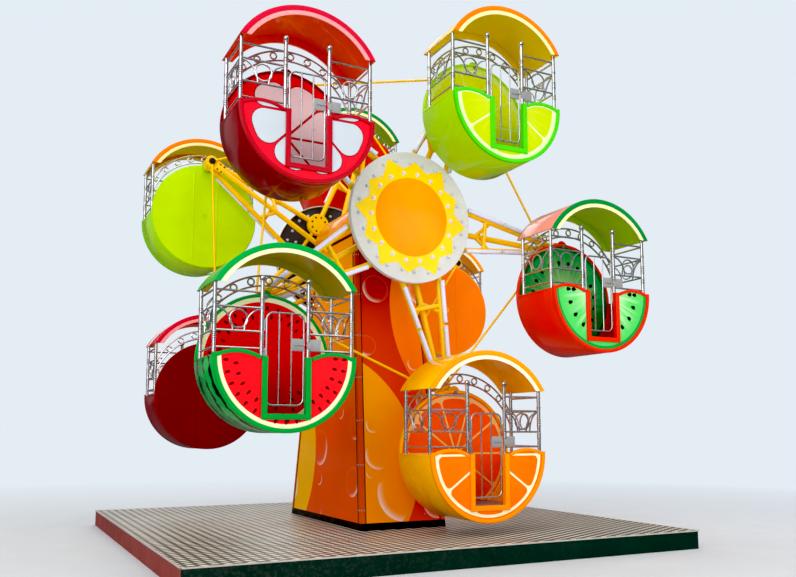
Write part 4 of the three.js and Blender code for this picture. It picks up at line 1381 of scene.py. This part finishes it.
# %% Latch plates and sliding bolt
BOLT_Z = sum(LATCH_Z) / 2
BOLT_Y = -FRONT_U - 0.015
BOLT_X = (0.092, 0.190)
BRACKETS_X = (0.100, 0.140)
KNOB_X = 0.178
knob_profile = [(0, 0), (0.005, 0), (0.005, 0.010), (0.010, 0.014), (0.010, 0.020), (0.006, 0.023),
                (0, 0.023)]
plate_parts = [bar((UPRIGHT_X + 0.002, y, LATCH_Z[0]), (GATE_HALF + 0.004, y + 0.004, LATCH_Z[1]), 0.0015)
               for y in (-FRONT_U - 0.0095, -FRONT_U + 0.0055)]
plate_parts.append(rod(*[(x, BOLT_Y, BOLT_Z) for x in BOLT_X], 0.006, 12))
plate_parts.append(moved(turned(knob_profile, 14), at(KNOB_X, FRONT_U + 0.014, BOLT_Z)))
for x in BRACKETS_X:
    plate_parts.append(bar((x - 0.006, -FRONT_U - 0.023, BOLT_Z - 0.012),
                           (x + 0.006, -FRONT_U - 0.0085, BOLT_Z + 0.012)))
gate_plate_mesh = gather(*plate_parts)

# %% [markdown]
# ## The canopy
# A sheet bent to an arc, with a lining of another colour, and a fascia of two bands along both ends.
# At the back the lining turns down over the inside of the bands, so they are seen from outside only.
# The bands are bent past their ends and then cut level, as a maker trims a bent strip.

# %% Canopy
CANOPY_R = 0.824
CANOPY_MIDDLE = 0.423 - CANOPY_R
CANOPY_U = (1.485, 2.190)
SHEET = 0.018
EDGE_DEEP = 0.022


def roof_band(inner, outer, back, front, rounding=0.0):
    """A band bent past both its ends, and then cut level. Its sizes are inwards from the canopy's face."""
    bent = band(CANOPY_R + inner, CANOPY_R + outer, back, front, 22, 158, 72, rounding)
    return cut_level(moved(bent, at(z=CANOPY_MIDDLE)), 0.0)


roof_back, roof_front = CANOPY_U
turned_down = roof_back + EDGE_DEEP - 0.0025
last_edge = roof_front + 0.002 - EDGE_DEEP
canopy_mesh = gather(roof_band(-SHEET + 0.003, 0, roof_back + 0.016, roof_front - 0.016, 0.005))
roof_lining_mesh = gather(
    roof_band(-SHEET, -SHEET + 0.004, roof_back + 0.018, roof_front - 0.018),
    roof_band(-0.0935, -SHEET + 0.002, turned_down, turned_down + 0.002),
)
fascia_mesh = gather(*[roof_band(-0.053, 0.001, back, back + EDGE_DEEP, 0.006)
                       for back in (roof_back - 0.002, last_edge)])
trim_mesh = gather(*[roof_band(-0.096, -0.052, back, back + EDGE_DEEP - 0.005, 0.004)
                     for back in (roof_back + 0.003, last_edge)])
print("canopy bent to a radius of", CANOPY_R, "m")

# %% [markdown]
# ## Fruit faces
# The front and the back wall of each cabin show a cut fruit. The flesh, segments, pith and seeds are
# thin raised parts, as on the moulded front, so their edges stay crisp from every side.
# Each is drawn whole around the disc's centre, and then trimmed to the room inside the rims.

# %% Rooms that the patterns are trimmed to
ROOM_INSET = 0.018
front_depth = (FACE_BACK + 0.01, FACE_FRONT + 0.03)
ROOM = {
    "front": gather(plate(face_outline(ROOM_INSET), *front_depth)),
    "inside": gather(moved(round_plate(DISC_R - 0.030, 1.44, 1.49, 72), in_disc)),
}
PITH_ROOM = gather(plate(face_outline(ROOM_INSET, 0.050), *front_depth))
SURFACE = {"front": FACE_FRONT, "inside": PANEL_FRONT}
SUNK = 0.003


def polar(points, angle, shift=0.0):
    """Move an outline out along its own axis, and then turn it round the disc's centre."""
    c, s = math.cos(math.radians(angle)), math.sin(math.radians(angle))
    return [(c * (x + shift) - s * z, s * (x + shift) + c * z) for x, z in points]


def inlay(outline, where, height, rounding=0.0006, drop=0.0):
    base = SURFACE[where]
    return plate([(x, z + DISC_Z - drop) for x, z in outline], base - SUNK, base + height, rounding, 1)


def ring_inlay(inner, outer, where, height):
    base = SURFACE[where]
    start, end = (176, 364) if where == "front" else (0, 360)
    return moved(band(inner, outer, base - SUNK, base + height, start, end, 96, 0.0005), in_disc)


def round_inlay(radius, where, height):
    base = SURFACE[where]
    return moved(round_plate(radius, base - SUNK, base + height, 96), in_disc)


# %% Outlines of a segment and a seed
def segment_outline(half, outer, corner, gap):
    """One citrus segment about the x axis: straight sides, an outer arc and round corners."""
    lean = math.degrees(math.asin((corner + gap / 2) / (outer - corner)))
    low = half - lean
    cx, cz = [(outer - corner) * f(math.radians(low)) for f in (math.cos, math.sin)]
    lower = flat(arc_points(corner, cx, -cz, -half - 90, -low, 8))
    across = flat(arc_points(outer, 0, 0, -low, low, 14))
    upper = flat(arc_points(corner, cx, cz, low, half + 90, 8))
    return [(gap / 2 / math.sin(math.radians(half)), 0.0)] + lower + across[1:-1] + upper


def segments(edges, outer, corner, gap, where, height, drop=0.0):
    """Segments between one edge angle and the next, round a centre that may lie a little lower."""
    shapes = []
    for start, end in zip(edges, edges[1:]):
        outline = segment_outline((end - start) / 2, outer, corner, gap)
        shapes.append(inlay(polar(outline, (start + end) / 2), where, height, drop=drop))
    return shapes


def even_edges(count):
    return [k * 360 / count for k in range(count + 1)]


def seed_outline(long, wide, point):
    turn = [2 * math.pi * k / 12 for k in range(12)]
    return [(long / 2 * math.cos(t), wide / 2 * math.sin(t) * (1 + point * math.cos(t))) for t in turn]


def seeds(rows, long, wide, where, point):
    """Rows are (radius, first angle, step, count), with the seeds pointing to the centre."""
    return [inlay(polar(seed_outline(long, wide, point), first + step * k, radius), where, 0.004, 0.0015)
            for radius, first, step, count in rows for k in range(count)]


def mark_places(mesh):
    """Keep each point's place on the disc as the mesh's own map, so that paint can follow the cabin."""
    chart = mesh.uv_layers.new(name="disc_map")
    for corner in mesh.loops:
        point = mesh.vertices[corner.vertex_index].co
        chart.data[corner.index].uv = (point.x, point.z - DISC_Z)
    return mesh


# %% Each fruit's layers
def melon_layers(where):
    yield "rind", [ring_inlay(0.632, 0.690, where, 0.0015)]
    rows = [(0.592, 184, 11, 17), (0.500, 188, 11.5, 16), (0.612, 260, 10, 3)]
    if where == "inside":
        rows = [(0.570, 4, 12, 30), (0.485, 10, 12, 30)]
    yield "seeds", seeds(rows, 0.052, 0.027, where, point=-0.3)


def red_citrus_layers(where):
    yield "outline", segments(even_edges(8), 0.615, 0.134, 0.006, where, 0.0015, 0.018)
    yield "segments", segments(even_edges(8), 0.605, 0.125, 0.026, where, 0.004, 0.018)


def green_citrus_layers(where):
    edges = even_edges(10) if where == "inside" else [150, 216, 252, 288, 324, 390]
    yield "segments", segments(edges, 0.612, 0.045, 0.022, where, 0.003, 0.012)


def kiwi_layers(where):
    yield "skin_line", [ring_inlay(0.636, 0.690, where, 0.0015)]
    rows = [(0.49, 180, 18, 11), (0.415, 180, 180, 2)] if where == "front" else [(0.47, 9, 18, 20)]
    yield "seeds", seeds(rows, 0.066, 0.044, where, point=0.45)


def tangerine_layers(where):
    yield "pith", [round_inlay(0.660, where, 0.0012)]
    yield "segments", segments(even_edges(10), 0.622, 0.05, 0.022, where, 0.003, 0.006)


# %% Each fruit's colours
FRUITS = {
    "kiwi": {
        "skin": (226, 42, 4), "rim": (222, 38, 4), "back": (206, 32, 2),
        "flesh": (80, 206, 92), "wall": (4, 146, 62),
        "top": (250, 150, 128), "fascia": (4, 132, 54), "trim": (250, 234, 172), "lining": (166, 202, 44),
        "layers": kiwi_layers,
        "front": {"skin_line": (20, 156, 60), "seeds": (18, 20, 18)},
        "inside": {"skin_line": (4, 92, 40), "seeds": (16, 30, 16)},
        "rays": {"face": (232, 250, 206), "wall": (176, 208, 132)},
    },
    "green_citrus": {
        "skin": (166, 218, 14), "rim": (70, 204, 14), "back": (186, 226, 0),
        "flesh": (222, 246, 172), "wall": (206, 228, 96),
        "top": (250, 222, 140), "fascia": (242, 124, 8), "trim": (250, 234, 160), "lining": (236, 198, 18),
        "layers": green_citrus_layers,
        "front": {"segments": (192, 210, 0)},
        "inside": {"segments": (212, 222, 4)},
        "rays": {"front_segments": (216, 224, 70), "inside_segments": (206, 216, 90)},
    },
    "red_citrus": {
        "skin": (136, 11, 17), "rim": (176, 20, 34), "back": (120, 12, 14),
        "flesh": (240, 24, 44), "wall": (240, 10, 26),
        "top": (214, 44, 58), "fascia": (206, 22, 52), "trim": (250, 152, 150), "lining": (236, 70, 8),
        "layers": red_citrus_layers,
        "front": {"outline": (158, 6, 26), "segments": (192, 198, 202)},
        "inside": {"outline": (160, 4, 18), "segments": (240, 206, 206)},
        "rays": {},
    },
    "melon": {
        "skin": (10, 166, 62), "rim": (4, 148, 52), "back": (20, 140, 60),
        "flesh": (240, 22, 30), "wall": (236, 4, 18),
        "top": (60, 180, 80), "fascia": (4, 158, 62), "trim": (240, 242, 184), "lining": (178, 164, 58),
        "layers": melon_layers,
        "front": {"rind": (240, 242, 186), "seeds": (104, 14, 14)},
        "inside": {"rind": (250, 250, 196), "seeds": (100, 6, 12)},
        "rays": {},
    },
    "tangerine": {
        "skin": (255, 172, 4), "rim": (255, 140, 0), "back": (255, 122, 0),
        "flesh": (255, 110, 0), "wall": (255, 84, 4),
        "top": (255, 182, 14), "fascia": (255, 152, 6), "trim": (250, 240, 200), "lining": (255, 182, 40),
        "layers": tangerine_layers,
        "front": {"pith": (250, 238, 190), "segments": (255, 112, 0)},
        "inside": {"pith": (250, 190, 104), "segments": (255, 82, 2)},
        "rays": {"front_segments": (255, 138, 20), "inside_segments": (255, 104, 20)},
    },
}
ORDER = {
    "front": ["kiwi", "green_citrus", "red_citrus", "melon", "tangerine"],
    "rear": ["tangerine", "kiwi", "green_citrus", "red_citrus", "melon"],
}
print("fruits:", list(FRUITS))

# %% [markdown]
# ## Melon rind
# Only the melon's drum is painted with broken dark stripes. They run round the drum, and their edges are
# jagged because the width of each stripe follows a noise.

# %% Striped rind
RIND_DARK = srgb(0, 24, 14)
STRIPE_PITCH = 0.24
STRIPE_WANDER = 0.14


def striped_rind(name, light):
    material, tree, shader = start_finish(name)
    depth = calculate(tree, "ABSOLUTE", split(tree, object_place(tree))["Y"])
    jagged = calculate(tree, "SUBTRACT", object_noise(tree, 7.0, 4.0, 0.8), 0.5)
    wander = calculate(tree, "MULTIPLY", jagged, STRIPE_WANDER)
    wave = calculate(tree, "DIVIDE", calculate(tree, "ADD", depth, wander), STRIPE_PITCH)
    away = calculate(tree, "ABSOLUTE", calculate(tree, "SUBTRACT", calculate(tree, "FRACT", wave), 0.5))
    width = stretch(tree, object_noise(tree, 5.0), 0.40, 0.60, -0.02, 0.30)
    stripe = stretch(tree, calculate(tree, "SUBTRACT", width, away), 0.0, 0.01)
    painted = weathered(tree, blend_colours(tree, stripe, light, RIND_DARK), drift=0.12, patch=4.0)
    surface(tree, shader, painted, 0.2, wave=0.004, **FIBREGLASS)
    return material


# %% [markdown]
# ## Rays in the flesh
# Kiwi flesh has pale rays that fade outwards, and citrus segments have a faint grain of the same kind.
# The rays follow the mesh's own map, so they stay with the fruit on every cabin.

# %% Group: rays round the middle
rays, given, result = new_group(
    "fruit_rays",
    [("Colour", COLOUR, WHITE), ("Pale", COLOUR, WHITE), ("Reach", FLOAT, 0.6), ("Amount", FLOAT, 1.0)],
    [("Colour", COLOUR)],
)
chart = add_node(rays, "ShaderNodeUVMap", uv_map="disc_map").outputs["UV"]
out_by = calculate_vector(rays, "LENGTH", chart)["Value"]
heading = calculate_vector(rays, "NORMALIZE", chart)["Vector"]
grain_look = {"Vector": heading, "Scale": 9.0, "Detail": 3.0, "Roughness": 0.6}
fine = add_node(rays, "ShaderNodeTexNoise", grain_look)
beam = stretch(rays, fine.outputs["Fac"], 0.40, 0.62)
fade = stretch(rays, out_by, 0.12, given["Reach"], 1.0, 0.0)
glow_in = stretch(rays, out_by, 0.20, 0.42, 0.75, 0.0)
beam_share = calculate(rays, "MAXIMUM", calculate(rays, "MULTIPLY", beam, fade), glow_in)
share = calculate(rays, "MULTIPLY", beam_share, given["Amount"])
feed(rays, result["Colour"], blend_colours(rays, share, given["Colour"], given["Pale"]))


def flesh_finish(fruit, part, colour, wave):
    """Plain fibreglass, or fibreglass painted with rays where the fruit has them."""
    name, pale = f"{fruit}_{part}", FRUITS[fruit]["rays"].get(part)
    if not pale:
        return fibreglass(name, srgb(*colour), wave)
    material, tree, shader = start_finish(name)
    amount = 1.0 if fruit == "kiwi" else 0.6
    flesh = use_group(tree, rays, Colour=srgb(*colour), Pale=srgb(*pale), Amount=amount)["Colour"]
    surface(tree, shader, weathered(tree, flesh, drift=0.04), 0.3, wave=0.002, **FIBREGLASS)
    return material


# %% Fruit pieces, each made once
def fruit_pieces(fruit, look):
    """Each piece's name, drawing, finish and slot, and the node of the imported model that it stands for."""
    skin_slot, roof_slot, steel_slot = f"{fruit}_skin", f"{fruit}_roof", "polished_steel"

    def moulded(part):
        return fibreglass(f"{fruit}_{part}", srgb(*look[part]))

    skin = striped_rind("melon_rind", srgb(*look["skin"])) if fruit == "melon" else moulded("skin")
    yield "shell", shell_mesh, skin, skin_slot, "tub"
    yield "back", back_mesh, moulded("back"), skin_slot, None
    yield "rim", rim_mesh, moulded("rim"), skin_slot, None
    yield "face", face_mesh, flesh_finish(fruit, "face", look["flesh"], 0.002), skin_slot, None
    yield "wall", panel_mesh, flesh_finish(fruit, "wall", look["wall"], 0.002), skin_slot, None
    yield "canopy", canopy_mesh, moulded("top"), roof_slot, "canopy"
    yield "lining", roof_lining_mesh, moulded("lining"), roof_slot, None
    yield "fascia", fascia_mesh, moulded("fascia"), roof_slot, None
    yield "roof_trim", trim_mesh, moulded("trim"), roof_slot, None
    for where in ("front", "inside"):
        for layer, shapes in look["layers"](where):
            room = PITH_ROOM if (fruit, where) == ("green_citrus", "front") else ROOM[where]
            layer_mesh = mark_places(trim(gather(*shapes), room))
            layer_finish = flesh_finish(fruit, f"{where}_{layer}", look[where][layer], 0.001)
            yield f"{where}_{layer}", layer_mesh, layer_finish, skin_slot, None
    yield "floor", cabin_floor_mesh, cabin_tread, "tread_steel", None
    yield "baluster", railing_mesh, polished, steel_slot, "railing"
    yield "latch_box", latch_mesh, brushed, steel_slot, None


mark_places(face_mesh)
mark_places(panel_mesh)
fruit_kit = {fruit: list(fruit_pieces(fruit, look)) for fruit, look in FRUITS.items()}
for fruit, kit in fruit_kit.items():
    print(fruit, "has", len(kit), "pieces")

# %% Hang the cabins
for side, fruits in ORDER.items():
    for number, fruit in enumerate(fruits, 1):
        cabin = f"{side}_cabin_{number}"
        pivot = Vector(joints[f"{cabin}_level"]["pos_m"])
        place = at(x=pivot.x, z=pivot.z) @ about(wheel_sides[side])
        for part, mesh, material, slot, stands_for in fruit_kit[fruit]:
            piece = fit(f"{cabin}_{fruit}_{part}", mesh, material, cabin, place, slot)
            if stands_for:
                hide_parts(f"{cabin}_{stands_for}")
        gate = fit(f"{cabin}_swing_gate", gate_mesh, polished, f"{cabin}_gate", place, "polished_steel")
        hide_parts(f"{cabin}_gate")
        fit(f"{cabin}_gate_plate", gate_plate_mesh, brushed, f"{cabin}_gate", place, "polished_steel")
